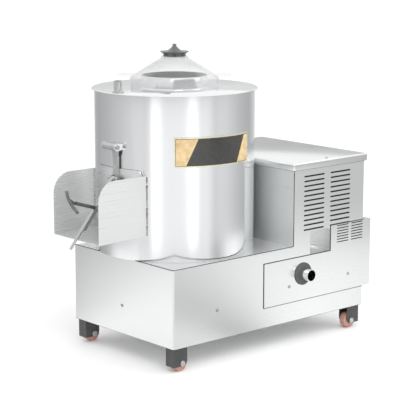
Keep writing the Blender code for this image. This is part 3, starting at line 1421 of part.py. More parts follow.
def add_rotor(rotor, abrasive, steel, cast):
    """What spins about the drum's axis: disc, cap nut, shaft and pulley. Its parent is that axis."""
    outer = DRUM_RADIUS - DRUM_WALL - GAP - LINER_THICKNESS - DISC_CLEARANCE
    bore = STUD_RADIUS + GAP
    disc = object_from(disc_mesh(outer, bore), "abrasive_disc", abrasive, rotor, smooth=60)
    reach = outer - DISC_CLEARANCE
    for number, side in enumerate((1, -1)):
        low = (side * WIPER_INNER, -WIPER_THICKNESS / 2, DISC_UNDERSIDE - WIPER_DROP)
        high = (side * reach, WIPER_THICKNESS / 2, DISC_UNDERSIDE + DISC_THICKNESS / 2)
        low, high = (tuple(map(min, low, high)), tuple(map(max, low, high)))
        join(disc, box(low, high), f"wiper_{number}")
    disc_top = DISC_UNDERSIDE + DISC_THICKNESS
    nut_bottom = disc_top + GAP
    profile = [
        (bore, nut_bottom),
        (CAP_NUT_RADIUS, nut_bottom),
        (CAP_NUT_RADIUS, nut_bottom + CAP_NUT_HEIGHT * 0.5),
        (CAP_NUT_RADIUS * 0.75, nut_bottom + CAP_NUT_HEIGHT * 0.85),
        (0, nut_bottom + CAP_NUT_HEIGHT),
        (0, nut_bottom + CAP_NUT_HEIGHT * 0.6),
        (bore, nut_bottom + CAP_NUT_HEIGHT * 0.6),
    ]
    object_from(turned(profile, SMALL_SIDES), "disc_cap_nut", steel, rotor)
    shoulder = DISC_UNDERSIDE - GAP
    low = PULLEY_MID - PULLEY_WIDTH
    profile = [
        (0, low),
        (SHAFT_RADIUS, low),
        (SHAFT_RADIUS, shoulder),
        (STUD_RADIUS, shoulder),
        (STUD_RADIUS, nut_bottom + CAP_NUT_HEIGHT * 0.5),
        (0, nut_bottom + CAP_NUT_HEIGHT * 0.5),
    ]
    object_from(turned(profile, SMALL_SIDES), "main_shaft", steel, rotor)
    add_pulley("driven_pulley", rotor, cast, DRIVEN_PULLEY_RADIUS, SHAFT_RADIUS + GAP, True)


def add_pulley(name, parent, material, radius, bore, webbed):
    """A V-pulley. A webbed one is hollowed from above, between its rim and its hub."""
    low = PULLEY_MID - PULLEY_WIDTH / 2
    high = PULLEY_MID + PULLEY_WIDTH / 2
    profile = [
        (bore, low),
        (radius, low),
        (radius, PULLEY_MID - GROOVE_TOP / 2),
        (radius - GROOVE_DEPTH, PULLEY_MID - GROOVE_BOTTOM / 2),
        (radius - GROOVE_DEPTH, PULLEY_MID + GROOVE_BOTTOM / 2),
        (radius, PULLEY_MID + GROOVE_TOP / 2),
        (radius, high),
    ]
    if webbed:
        rim = radius - PULLEY_RIM
        web = low + PULLEY_WEB
        profile += [(rim, high), (rim, web), (PULLEY_HUB_RADIUS, web), (PULLEY_HUB_RADIUS, high)]
    profile.append((bore, high))
    object_from(turned(profile, MEDIUM_SIDES if webbed else SMALL_SIDES), name, material, parent)


def add_motor(motor, root, cast, steel, painted):
    flange_bottom = PAN_FLOOR_TOP + MOUNT_RISE + MOUNT_PLATE + GAP
    body_top = flange_bottom + MOTOR_HEIGHT
    ring = []
    for fin in range(MOTOR_FINS):
        step = 360 / MOTOR_FINS
        start = step * fin
        end = start + step * MOTOR_FIN_SHARE
        inner = MOTOR_RADIUS - MOTOR_FIN_DEPTH
        for radius, angle in ((inner, start), (MOTOR_RADIUS, start), (MOTOR_RADIUS, end), (inner, end)):
            turn = math.radians(angle)
            ring.append((radius * math.cos(turn), radius * math.sin(turn)))
    flange_top = flange_bottom + MOTOR_FLANGE
    body = object_from(prism(ring, flange_top - GAP, body_top, "Z"), "motor_body", cast, motor)
    join(body, rod(MOTOR_FLANGE_RADIUS, flange_bottom, flange_top, MEDIUM_SIDES), "flange")
    bore = MOTOR_SHAFT_RADIUS + RUNNING
    inside = flange_bottom + MOTOR_SHAFT_INSIDE + RUNNING
    cut(body, rod(bore, flange_bottom - OVERRUN, inside), "shaft_bore")
    cowl = [
        (0, body_top - MOTOR_FIN_DEPTH),
        (MOTOR_COWL_RADIUS, body_top - MOTOR_FIN_DEPTH),
        (MOTOR_COWL_RADIUS, body_top + COWL_HEIGHT - COWL_ROUND),
        (MOTOR_COWL_RADIUS - COWL_ROUND / 3, body_top + COWL_HEIGHT - COWL_ROUND / 3),
        (MOTOR_COWL_RADIUS - COWL_ROUND, body_top + COWL_HEIGHT),
        (0, body_top + COWL_HEIGHT),
    ]
    join(body, turned(cowl), "fan_cowl")
    shaft = rod(MOTOR_SHAFT_RADIUS, PULLEY_MID - PULLEY_WIDTH, flange_bottom + MOTOR_SHAFT_INSIDE)
    object_from(shaft, "motor_shaft", steel, motor)
    add_pulley("motor_pulley", motor, cast, MOTOR_PULLEY_RADIUS, MOTOR_SHAFT_RADIUS + GAP, False)
    add_motor_mount(root, painted)


def add_motor_mount(root, painted):
    """A bridge over the pulley, with its feet on the base pan."""
    bottom = PAN_FLOOR_TOP + GAP
    top = PAN_FLOOR_TOP + MOUNT_RISE + MOUNT_PLATE
    half = MOUNT_DEPTH / 2
    leg = half - MOUNT_PLATE
    foot = half - MOUNT_FOOT
    outline = [
        (-half, bottom),
        (-foot, bottom),
        (-foot, bottom + MOUNT_PLATE),
        (-leg, bottom + MOUNT_PLATE),
        (-leg, top - MOUNT_PLATE),
        (leg, top - MOUNT_PLATE),
        (leg, bottom + MOUNT_PLATE),
        (foot, bottom + MOUNT_PLATE),
        (foot, bottom),
        (half, bottom),
        (half, top),
        (-half, top),
    ]
    length = MOUNT_LENGTH / 2
    place = (MOTOR_X, DRUM_Y, 0)
    mount = object_from(prism(outline, -length, length, "X"), "motor_mount", painted, root, place)
    cut(mount, rod(MOUNT_HOLE_RADIUS, top - OVERRUN, top + OVERRUN), "shaft_hole", place)


def add_v_belt(root, rubber):
    """A wedge section carried round both pulleys, with a straight run on each side."""
    distance = MOTOR_X - DRUM_X
    proud = BELT_PROUD
    depth = GROOVE_DEPTH - GAP * 4
    lean = math.acos((DRIVEN_PULLEY_RADIUS - MOTOR_PULLEY_RADIUS) / distance)
    steps = 16
    bm = bmesh.new()
    rings = []
    turns = [(0, DRIVEN_PULLEY_RADIUS, lean, 2 * math.pi - lean)]
    turns.append((distance, MOTOR_PULLEY_RADIUS, -lean, lean))
    taper = (GROOVE_TOP - GROOVE_BOTTOM) / GROOVE_DEPTH
    top_half = (GROOVE_TOP + taper * proud) / 2 - 2 * GAP
    bottom_half = top_half - taper * (depth + proud) / 2
    for centre, radius, start, end in turns:
        for step in range(steps + 1):
            angle = start + (end - start) * step / steps
            out = Vector((math.cos(angle), math.sin(angle), 0))
            middle = Vector((centre, 0, PULLEY_MID))
            high = radius + proud
            low = radius - depth
            section = [(high, -top_half), (high, top_half), (low, bottom_half), (low, -bottom_half)]
            rings.append([bm.verts.new(middle + out * u + Vector((0, 0, v))) for u, v in section])
    skin(bm, rings + rings[:1])
    object_from(bm, "v_belt", rubber, root, (DRUM_X, DRUM_Y, 0))


# Switch housing


def button_centre():
    return SWITCH_HOUSING_DEPTH / 2, PANEL_BOTTOM + PANEL_HIGH_HEIGHT / 2


def button_heights():
    middle = button_centre()[1]
    return middle + BUTTON_SPACING / 2, middle - BUTTON_SPACING / 2


def block_outline(grow=0.0):
    """The part of the button station that sits in the housing, in YZ."""
    y, z = button_centre()
    side = SWITCH_BLOCK_WIDTH / 2 + grow
    tall = SWITCH_BLOCK_HEIGHT / 2 + grow
    return rounded_box((y - side, z - tall), (y + side, z + tall), BUTTON_PLATE_RADIUS / 2 + grow)


def add_switch_housing(root, steel):
    left = BASE_LENGTH + GAP
    right = PANEL_RIGHT
    bottom = PANEL_BOTTOM
    top = PANEL_BOTTOM + PANEL_HIGH_HEIGHT
    block = box((left, 0, bottom), (right, SWITCH_HOUSING_DEPTH, top))
    housing = object_from(block, "switch_housing", steel, root)
    low = (left - OVERRUN, -OVERRUN, bottom + SWITCH_SHEET)
    high = (right - SWITCH_SHEET, SWITCH_HOUSING_DEPTH - SWITCH_SHEET, top - SWITCH_SHEET)
    cut(housing, box(low, high), "hollow")
    cut(housing, prism(block_outline(GAP), right - OVERRUN, right + OVERRUN, "X"), "station_window")


def add_buttons(root, plastic, green, red):
    """The station's plate lies on the housing, its block reaches in, and each stem runs in a bore."""
    y, z = button_centre()
    face = PANEL_RIGHT + GAP
    outer = face + BUTTON_PLATE_THICKNESS
    low = (y - BUTTON_PLATE_WIDTH / 2, z - BUTTON_PLATE_HEIGHT / 2)
    high = (y + BUTTON_PLATE_WIDTH / 2, z + BUTTON_PLATE_HEIGHT / 2)
    plate = prism(rounded_box(low, high, BUTTON_PLATE_RADIUS), face, outer, "X")
    station = object_from(plate, "button_station", plastic, root)
    join(station, prism(block_outline(), outer - SWITCH_BLOCK_DEPTH, face + GAP, "X"), "block")
    stem = BUTTON_REACH + BUTTON_TRAVEL + 2 * GAP
    radius = BUTTON_STEM_RADIUS + RUNNING
    for number, height in enumerate(button_heights()):
        cut(station, rod(radius, -stem, OVERRUN, TINY_SIDES, "X"), f"bore_{number}", (outer, y, height))
    upper, lower = button_heights()
    add_button("start_button", root, green, START_RADIUS, (outer, y, upper))
    add_button("stop_button", root, red, STOP_RADIUS, (outer, y, lower))


def add_button(name, root, material, radius, place):
    """A cap that stands off its plate by its travel, on a stem. Its parent is the travel's axis."""
    rest = BUTTON_TRAVEL + GAP
    axis = make_empty(f"{name}_axis", place, root)
    edge = BUTTON_HEIGHT / 5
    profile = [
        (0, -BUTTON_REACH),
        (BUTTON_STEM_RADIUS, -BUTTON_REACH),
        (BUTTON_STEM_RADIUS, rest),
        (radius, rest),
        (radius, rest + BUTTON_HEIGHT - edge),
        (radius - edge, rest + BUTTON_HEIGHT),
        (0, rest + BUTTON_HEIGHT),
    ]
    object_from(turned(profile, SMALL_SIDES, "X"), name, material, axis)


# Assembly


def stand_on_origin(root):
    """Moves the root so that the whole object's box stands on the origin, centred."""
    bpy.context.view_layer.update()
    graph = bpy.context.evaluated_depsgraph_get()
    corners = []
    for obj in bpy.context.scene.objects:
        if obj.type == "MESH" and not obj.hide_render:
            placed = obj.evaluated_get(graph)
            corners += [placed.matrix_world @ vertex.co for vertex in placed.data.vertices]
    middle = [(min(c[axis] for c in corners) + max(c[axis] for c in corners)) / 2 for axis in (0, 1)]
    root.location = (-middle[0], -middle[1], 0)


def build():
    clear_scene()
    steel = make_material("stainless_sheet", (0.78, 0.79, 0.79), 0.28, 1.0)
    polished = make_material("polished_steel", (0.86, 0.87, 0.87), 0.12, 1.0)
    chrome = make_material("chrome", (0.90, 0.90, 0.90), 0.06, 1.0)
    zinc = make_material("zinc_plated", (0.72, 0.72, 0.70), 0.32, 1.0)
    cast = make_material("cast_metal", (0.55, 0.56, 0.56), 0.5, 0.9)
    dark_metal = make_material("blackened_steel", (0.10, 0.10, 0.10), 0.45, 0.8)
    painted = make_material("black_paint", (0.05, 0.05, 0.05), 0.5, 0.0)
    rubber = make_material("dark_rubber", (0.08, 0.085, 0.085), 0.7, 0.0)
    tyre = make_material("red_tyre", (0.55, 0.16, 0.13), 0.6, 0.0)
    abrasive = make_material("abrasive_coat", (0.16, 0.15, 0.14), 0.95, 0.0)
    clear = make_material("clear_plastic", (0.93, 0.95, 0.95), 0.08, 0.0, 0.3)
    plastic = make_material("black_plastic", (0.06, 0.06, 0.065), 0.45, 0.0)
    green = make_material("green_button", (0.05, 0.42, 0.12), 0.4, 0.0)
    red = make_material("red_button", (0.62, 0.04, 0.03), 0.4, 0.0)

    root = make_empty("peeler", (0, 0, 0))
    drum = make_empty("drum_axis", (DRUM_X, DRUM_Y, 0), root)
    rotor = make_empty("disc_axis", (DRUM_X, DRUM_Y, 0), root)
    motor = make_empty("motor_axis", (MOTOR_X, DRUM_Y, 0), root)
    turn = (0, 0, math.radians(EAR_ANGLE))
    lid = make_empty("lid_axis", (DRUM_X, DRUM_Y, PLATE_TOP + GAP), root, turn)
    door = make_empty("door_hinge", (HINGE_X, STRAP_Y, HINGE_Z), root)
    bar = make_empty("clamp_pivot", (PIVOT_X - HINGE_X, 0, PIVOT_Z - HINGE_Z), door)
    tilt = (0, math.radians(SCREW_ANGLE - 90), 0)
    back = Vector((math.cos(math.radians(SCREW_ANGLE)), 0, -math.sin(math.radians(SCREW_ANGLE))))
    pad_place = bar_point(SCREW_ALONG_BAR) + back * screw_reach()
    pad = make_empty("pad_axis", pad_place, bar)
    screw = make_empty("screw_axis", pad_place, bar, tilt)

    add_body_shell(root, steel)
    add_base_pan(root, steel)
    add_deck(root, steel)
    add_cabinet_side_panel(root, steel)
    add_cabinet_cover(root, steel)
    add_grip_pocket(root, steel)
    add_service_panel(root, steel)
    add_rear_cover(root, steel)
    add_cable_gland(root, plastic)
    add_switch_housing(root, steel)
    add_buttons(root, plastic, green, red)
    add_casters(root, painted, zinc, tyre)

    add_drum(drum, polished, abrasive)
    add_top_plate(drum, polished)
    add_water_inlet(drum, chrome)
    add_lid(lid, clear, plastic)

    add_chute(root, steel)
    add_door(door, root, steel, rubber, zinc, cast)
    add_pivot_bolt(door, zinc)
    add_clamp_bar(bar, steel)
    add_clamp_pad(pad, zinc)
    add_clamp_screw(screw, zinc, dark_metal)

    add_drain_pan(drum, steel)
    add_drain_hose(root, rubber)
    add_outlet(root, polished, rubber)
    add_support_beam(root, painted)
    add_bearing_housing(drum, cast, polished, rubber)
    add_rotor(rotor, abrasive, polished, cast)
    add_motor(motor, root, cast, polished, painted)
    add_v_belt(root, rubber)
    stand_on_origin(root)


build()
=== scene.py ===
"""Looks of the electric potato peeler: studio, camera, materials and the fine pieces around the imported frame."""

import json
import math
from random import Random

import bmesh
import bpy
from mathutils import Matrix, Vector

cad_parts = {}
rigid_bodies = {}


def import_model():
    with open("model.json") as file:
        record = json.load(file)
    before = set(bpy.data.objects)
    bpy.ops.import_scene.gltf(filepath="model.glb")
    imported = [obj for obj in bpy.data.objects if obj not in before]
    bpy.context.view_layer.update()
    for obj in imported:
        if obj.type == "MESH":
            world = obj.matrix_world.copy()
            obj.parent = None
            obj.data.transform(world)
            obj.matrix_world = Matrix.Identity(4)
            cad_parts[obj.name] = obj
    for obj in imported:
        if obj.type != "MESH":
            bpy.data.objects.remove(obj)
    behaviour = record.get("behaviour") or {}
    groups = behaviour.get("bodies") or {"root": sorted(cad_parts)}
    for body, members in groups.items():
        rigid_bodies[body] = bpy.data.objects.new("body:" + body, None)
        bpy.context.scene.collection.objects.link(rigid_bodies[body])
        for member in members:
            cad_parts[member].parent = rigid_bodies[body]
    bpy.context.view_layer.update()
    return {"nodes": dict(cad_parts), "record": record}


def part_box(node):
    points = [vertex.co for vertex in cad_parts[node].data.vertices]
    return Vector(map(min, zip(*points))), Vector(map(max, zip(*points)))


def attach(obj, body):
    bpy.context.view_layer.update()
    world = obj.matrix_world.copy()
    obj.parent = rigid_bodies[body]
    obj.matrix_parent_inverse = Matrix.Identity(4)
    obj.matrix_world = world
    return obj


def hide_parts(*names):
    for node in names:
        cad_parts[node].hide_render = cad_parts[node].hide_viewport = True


for obj in list(bpy.data.objects):
    bpy.data.objects.remove(obj, do_unlink=True)

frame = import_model()
NODES = frame["nodes"]

SHELL_LOW, SHELL_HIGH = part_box("body_shell")
DRUM_LOW, DRUM_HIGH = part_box("drum_shell")
DECK_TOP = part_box("deck_plate")[1].z
DRUM = (DRUM_LOW + DRUM_HIGH) / 2
DRUM_RADIUS = (DRUM_HIGH.x - DRUM_LOW.x) / 2

# Camera: fitted to the photograph's straight edges, from the base's front left corner
FOCAL_PIXELS = 1471.58
PHOTO_WIDTH = 400
SENSOR_WIDTH = 36
FAR_CLIP = 50
CAMERA_AZIMUTH = -41.2345
CAMERA_ELEVATION = 10.768
CAMERA_FROM_CORNER = (-2.6518, -3.1414)
CAMERA_HEIGHT = 1.2978


def in_world(x, y, z):
    """A point measured from the base's front left corner at floor level."""
    return Vector((SHELL_LOW.x + x, SHELL_LOW.y + y, z))


def link(obj):
    bpy.context.scene.collection.objects.link(obj)
    return obj


def add_camera():
    azimuth = math.radians(CAMERA_AZIMUTH)
    elevation = math.radians(CAMERA_ELEVATION)
    back = Vector((
        math.sin(azimuth) * math.cos(elevation),
        -math.cos(azimuth) * math.cos(elevation),
        math.sin(elevation),
    ))
    data = bpy.data.cameras.new("camera")
    data.sensor_width = SENSOR_WIDTH
    data.lens = FOCAL_PIXELS / PHOTO_WIDTH * SENSOR_WIDTH
    data.clip_end = FAR_CLIP
    camera = link(bpy.data.objects.new("camera", data))
    camera.location = in_world(*CAMERA_FROM_CORNER, CAMERA_HEIGHT)
    camera.rotation_euler = back.to_track_quat("Z", "Y").to_euler()
    bpy.context.scene.camera = camera


# Materials

# The part of its scale in which most of a noise texture's values lie
NOISE_LOW, NOISE_HIGH = 0.3, 0.7
PAINT_LOW, PAINT_HIGH = 0.32, 0.68
STEEL_BUMP_DEPTH = 0.0004
PAINT_BUMP_DEPTH = 0.0006
GRIT_BUMP_DEPTH = 0.001
CLEAR_BUMP_DEPTH = 0.0008


def new_material(name):
    material = bpy.data.materials.new(name)
    material.use_nodes = True
    tree = material.node_tree
    return material, tree, tree.nodes["Principled BSDF"]


def node(tree, kind, **settings):
    made = tree.nodes.new(kind)
    for key, value in settings.items():
        if key in made.inputs:
            made.inputs[key].default_value = value
        else:
            setattr(made, key, value)
    return made


def mapped(tree, scale):
    """Object coordinates, stretched, which stay with the piece when its body moves."""
    place = node(tree, "ShaderNodeTexCoord")
    mapping = node(tree, "ShaderNodeMapping")
    mapping.inputs["Scale"].default_value = scale
    tree.links.new(place.outputs["Object"], mapping.inputs["Vector"])
    return mapping.outputs["Vector"]


def noise(tree, scale, detail=3.0, roughness=0.55, size=1.0):
    texture = node(tree, "ShaderNodeTexNoise")
    texture.inputs["Scale"].default_value = size
    texture.inputs["Detail"].default_value = detail
    texture.inputs["Roughness"].default_value = roughness
    tree.links.new(mapped(tree, scale), texture.inputs["Vector"])
    return texture.outputs["Fac"]


def ramp(tree, source, stops):
    """A colour ramp from (position, colour or grey) stops."""
    made = node(tree, "ShaderNodeValToRGB")
    elements = made.color_ramp.elements
    for index, (position, colour) in enumerate(stops):
        element = elements[index] if index < 2 else elements.new(position)
        element.position = position
        element.color = (*colour, 1) if isinstance(colour, tuple) else (colour, colour, colour, 1)
    tree.links.new(source, made.inputs["Fac"])
    return made.outputs["Color"]


def spread(tree, source, low, high):
    """The value, stretched from a noise's usual range to low..high."""
    made = node(tree, "ShaderNodeMapRange")
    made.inputs["From Min"].default_value = NOISE_LOW
    made.inputs["From Max"].default_value = NOISE_HIGH
    made.inputs["To Min"].default_value = low
    made.inputs["To Max"].default_value = high
    tree.links.new(source, made.inputs["Value"])
    return made.outputs["Result"]


def mixed(tree, factor, first, second):
    made = node(tree, "ShaderNodeMix", data_type="RGBA")
    for value, socket in ((factor, "Factor_Float"), (first, "A_Color"), (second, "B_Color")):
        target = next(i for i in made.inputs if i.identifier == socket)
        if isinstance(value, (tuple, float, int)):
            target.default_value = (*value, 1) if isinstance(value, tuple) else value
        else:
            tree.links.new(value, target)
    return next(o for o in made.outputs if o.identifier == "Result_Color")


def bumped(tree, shader, source, strength, distance):
    made = node(tree, "ShaderNodeBump")
    made.inputs["Strength"].default_value = strength
    made.inputs["Distance"].default_value = distance
    tree.links.new(source, made.inputs["Height"])
    tree.links.new(made.outputs["Normal"], shader.inputs["Normal"])


def steel(name, dark, light, low_roughness, high_roughness, grain=(5, 5, 420), bump=0.03, metallic=1.0):
    """Sheet steel: fine streaks of the mill's brushing along the sheet, and broad faint stains."""
    material, tree, shader = new_material(name)
    streaks = noise(tree, grain, detail=5.0, roughness=0.7)
    broad = noise(tree, (3, 3, 3), detail=2.0)
    both = mixed(tree, 0.6, streaks, broad)
    tree.links.new(ramp(tree, both, [(NOISE_LOW, dark), (NOISE_HIGH, light)]), shader.inputs["Base Color"])
    tree.links.new(spread(tree, both, low_roughness, high_roughness), shader.inputs["Roughness"])
    shader.inputs["Metallic"].default_value = metallic
    bumped(tree, shader, streaks, bump, STEEL_BUMP_DEPTH)
    return material


def painted(name, dark, light, low_roughness, high_roughness, scale=90, bump=0.1, metallic=0.0, coat=0.0):
    """Paint, cast metal, plastic or rubber: a fine skin with colour that wanders a little."""
    material, tree, shader = new_material(name)
    fine = noise(tree, (scale, scale, scale), detail=4.0)
    broad = noise(tree, (9, 9, 9), detail=2.0)
    both = mixed(tree, 0.5, fine, broad)
    tree.links.new(ramp(tree, both, [(PAINT_LOW, dark), (PAINT_HIGH, light)]), shader.inputs["Base Color"])
    tree.links.new(spread(tree, both, low_roughness, high_roughness), shader.inputs["Roughness"])
    shader.inputs["Metallic"].default_value = metallic
    shader.inputs["Coat Weight"].default_value = coat
    bumped(tree, shader, fine, bump, PAINT_BUMP_DEPTH)
    return material


def grit(name):
    """Abrasive grains set in a dark resin."""
    material, tree, shader = new_material(name)
    cells = node(tree, "ShaderNodeTexVoronoi")
    cells.inputs["Scale"].default_value = 1.0
    tree.links.new(mapped(tree, (420, 420, 420)), cells.inputs["Vector"])
    broad = noise(tree, (30, 30, 30), detail=3.0)
    colour = mixed(tree, 0.4, cells.outputs["Distance"], broad)
    stops = [(0.15, (0.32, 0.30, 0.27)), (0.6, (0.09, 0.085, 0.08))]
    tree.links.new(ramp(tree, colour, stops), shader.inputs["Base Color"])
    tree.links.new(spread(tree, broad, 0.75, 0.95), shader.inputs["Roughness"])
    bumped(tree, shader, cells.outputs["Distance"], 0.8, GRIT_BUMP_DEPTH)
    return material


def clear(name):
    """Clear moulded plastic: see-through where it faces you, denser towards its edges, with a faint haze."""
    material, tree, shader = new_material(name)
    haze = noise(tree, (14, 14, 14), detail=3.0)
    stops = [(NOISE_LOW, (0.70, 0.72, 0.72)), (NOISE_HIGH, (0.80, 0.81, 0.81))]
    tree.links.new(ramp(tree, haze, stops), shader.inputs["Base Color"])
    tree.links.new(spread(tree, haze, 0.03, 0.10), shader.inputs["Roughness"])
    facing = node(tree, "ShaderNodeLayerWeight")
    facing.inputs["Blend"].default_value = 0.45
    density = ramp(tree, facing.outputs["Facing"], [(0.25, 0.13), (0.95, 0.52)])
    tree.links.new(density, shader.inputs["Alpha"])
    bumped(tree, shader, haze, 0.05, CLEAR_BUMP_DEPTH)
    return material


# For each slot: the material's name, its dark and light colour, its lowest and highest roughness,
# and where it differs from the function's usual values
STEELS = {
    "stainless_sheet": (
        "brushed_sheet", (0.80, 0.81, 0.81), (0.87, 0.88, 0.88), 0.20, 0.30,
        {"grain": (4, 4, 260), "bump": 0.003},
    ),
    "satin_sheet": (
        "satin_side_sheet", (0.80, 0.81, 0.81), (0.87, 0.88, 0.88), 0.26, 0.34,
        {"grain": (4, 4, 260), "bump": 0.003, "metallic": 0.88},
    ),
    "deck_sheet": (
        "deck_sheet_steel", (0.80, 0.81, 0.81), (0.88, 0.89, 0.89), 0.26, 0.34,
        {"grain": (4, 4, 260), "bump": 0.002, "metallic": 0.62},
    ),
    # Painted shade: a darker, less metallic copy of the sheet steel for the chute
    "chute_sheet": (
        "chute_sheet_painted_shade", (0.66, 0.67, 0.67), (0.73, 0.74, 0.74), 0.24, 0.32,
        {"grain": (4, 4, 200), "bump": 0.0008, "metallic": 0.42},
    ),
    "polished_steel": (
        "polished_drum", (0.83, 0.84, 0.85), (0.88, 0.89, 0.90), 0.10, 0.17, {"bump": 0.01},
    ),
    "chrome": (
        "chromed", (0.82, 0.82, 0.82), (0.90, 0.90, 0.90), 0.05, 0.12,
        {"grain": (40, 40, 40), "bump": 0.01},
    ),
    "zinc_plated": (
        "zinc_plated_steel", (0.40, 0.40, 0.39), (0.62, 0.62, 0.60), 0.26, 0.42,
        {"grain": (60, 60, 60), "bump": 0.04},
    ),
    "worn_steel": (
        "worn_grip_steel", (0.11, 0.11, 0.11), (0.26, 0.26, 0.25), 0.28, 0.45,
        {"grain": (70, 70, 70), "bump": 0.05},
    ),
    "bar_steel": (
        "clamp_bar_steel", (0.42, 0.42, 0.42), (0.62, 0.62, 0.61), 0.24, 0.38,
        {"grain": (60, 60, 60), "bump": 0.03},
    ),
    "weld": (
        "weld_bead_steel", (0.06, 0.06, 0.06), (0.34, 0.34, 0.33), 0.3, 0.5,
        {"grain": (220, 220, 220), "bump": 0.2},
    ),
}
PAINTS = {
    "cast_metal": (
        "cast_metal_skin", (0.45, 0.46, 0.46), (0.62, 0.63, 0.63), 0.35, 0.55,
        {"metallic": 0.9, "bump": 0.2},
    ),
    "blackened_steel": (
        "blackened_steel_skin", (0.09, 0.09, 0.09), (0.20, 0.20, 0.20), 0.3, 0.5, {"metallic": 0.7},
    ),
    "black_paint": (
        "black_paint_skin", (0.035, 0.035, 0.036), (0.070, 0.070, 0.070), 0.34, 0.52, {"coat": 0.1},
    ),
    "dark_rubber": (
        "dark_rubber_skin", (0.060, 0.063, 0.063), (0.10, 0.105, 0.105), 0.55, 0.75, {},
    ),
    "red_tyre": ("red_tyre_skin", (0.42, 0.20, 0.16), (0.58, 0.32, 0.26), 0.35, 0.55, {"coat": 0.1}),
    "black_plastic": (
        "black_plastic_skin", (0.105, 0.105, 0.107), (0.155, 0.155, 0.158), 0.30, 0.45,
        {"scale": 160, "coat": 0.15},
    ),
    "green_button": (
        "green_button_skin", (0.03, 0.34, 0.09), (0.06, 0.46, 0.14), 0.2, 0.32, {"coat": 0.4},
    ),
    "red_button": (
        "red_button_skin", (0.52, 0.03, 0.02), (0.68, 0.05, 0.04), 0.2, 0.32, {"coat": 0.4},
    ),
    # Painted shade: near-black boxes behind the vent slots
    "vent_liner": (
        "painted_vent_shade_black", (0.004, 0.004, 0.004), (0.012, 0.012, 0.012), 0.8, 0.95, {},
    ),
    # Painted shade: near-black strips that stand for the shadow gaps at seams and edges
    "seam_shadow_paint": (
        "painted_seam_shadow", (0.020, 0.020, 0.020), (0.050, 0.050, 0.050), 0.5, 0.7, {},
    ),
    "badge_frame": (
        "badge_frame_metal", (0.70, 0.66, 0.50), (0.86, 0.83, 0.68), 0.22, 0.36, {"metallic": 0.8},
    ),
    "badge_field": (
        "badge_field_enamel", (0.020, 0.020, 0.018), (0.045, 0.043, 0.038), 0.25, 0.4, {"coat": 0.3},
    ),
    "badge_end": (
        "badge_end_enamel", (0.45, 0.30, 0.13), (0.78, 0.60, 0.33), 0.3, 0.45,
        {"scale": 60, "coat": 0.3},
    ),
}


def make_materials():
    made = {slot: steel(*usual, **special) for slot, (*usual, special) in STEELS.items()}
    made.update({slot: painted(*usual, **special) for slot, (*usual, special) in PAINTS.items()})
    made["abrasive_coat"] = grit("abrasive_grit")
    made["clear_plastic"] = clear("clear_moulding")
    return made


# Nodes that look unlike the rest of their slot in the photograph
OWN_FINISH_AND_SHADE = {
    "t_grip": "worn_steel", "clamp_bar": "bar_steel", "cabinet_side_panel": "satin_sheet",
    # The chute's entry is a darker copy of the sheet steel: painted shade
    "deck_plate": "deck_sheet", "discharge_chute": "chute_sheet",
}


def dress_nodes(materials):
    for name, obj in NODES.items():
        slot = obj.material_slots[0].material.name.split(".")[0]
        obj.material_slots[0].material = materials[OWN_FINISH_AND_SHADE.get(name, slot)]


# Lengths that the painted seam shadows and the painted vent shade boxes share with the part
CABINET_LENGTH = 0.315
PANEL_RISER = 0.183
PANEL_LOW_HEIGHT = 0.137
VENT_INSET = 0.043
VENT_WIDTH = 2 * 0.0905 + 0.026
VENT_BOTTOM = 0.0465 - 0.0025
VENT_RISE = 11 * 0.0153 + 0.005
PANEL_VENT_INSET = 0.027
PANEL_VENT_WIDTH = 2 * 0.054 + 0.0115
PANEL_VENT_DROP = 0.004 + 6 * 0.0088 + 0.003


# Fine skins of the round nodes

CORNERS = ("front_left", "back_left", "front_right", "back_right")
ROUND_NODES = (
    "drum_shell", "top_plate", "water_inlet", "lid_shell", "lid_knob", "waste_flange", "waste_pipe",
    "cabinet_cover", "door_plate", "door_strap", "clamp_bar", "clamp_spindle", "clamp_pad", "t_grip",
    "clamp_pivot_bolt",
    *(f"caster_{piece}_{corner}" for piece in ("wheel", "bolt", "bracket") for corner in CORNERS),
    "start_button", "stop_button", "hinge_bracket", "hinge_pin", "abrasive_disc", "disc_cap_nut",
    "cable_gland", "discharge_chute",
)
WELD_DISTANCE = 2e-6
FLAT_ANGLE = 0.2
SKIN_SMOOTH_ANGLE = 40
PIECE_SMOOTH_ANGLE = 35


def body_of(name):
    bodies = frame["record"]["behaviour"]["bodies"]
    return next(body for body, members in bodies.items() if name in members)


def add_skins():
    """The round pieces get one joined surface with smooth normals, in place of the CAD's separate facets."""
    for name in ROUND_NODES:
        source = NODES[name]
        bm = bmesh.new()
        bm.from_mesh(source.data)
        bmesh.ops.remove_doubles(bm, verts=bm.verts, dist=WELD_DISTANCE)
        flat = math.radians(FLAT_ANGLE)
        bmesh.ops.dissolve_limit(bm, angle_limit=flat, verts=bm.verts, edges=bm.edges)
        material = source.material_slots[0].material
        piece = object_from(bm, f"{name}_skin", material, body_of(name), SKIN_SMOOTH_ANGLE)
        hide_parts(name)


# Small pieces


def object_from(bm, name, material, body, smooth=PIECE_SMOOTH_ANGLE):
    bmesh.ops.recalc_face_normals(bm, faces=bm.faces)
    mesh = bpy.data.meshes.new(name)
    bm.to_mesh(mesh)
    bm.free()
    mesh.shade_smooth()
    mesh.set_sharp_from_angle(angle=math.radians(smooth))
    mesh.materials.append(material)
    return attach(link(bpy.data.objects.new(name, mesh)), body)


def on_drum(angle, height, proud):
    """A point on the drum's wall, at this angle in degrees from +X, standing proud of it."""
    turn = math.radians(angle)
    radius = DRUM_RADIUS + proud
    return Vector((DRUM.x + radius * math.cos(turn), DRUM.y + radius * math.sin(turn), height))


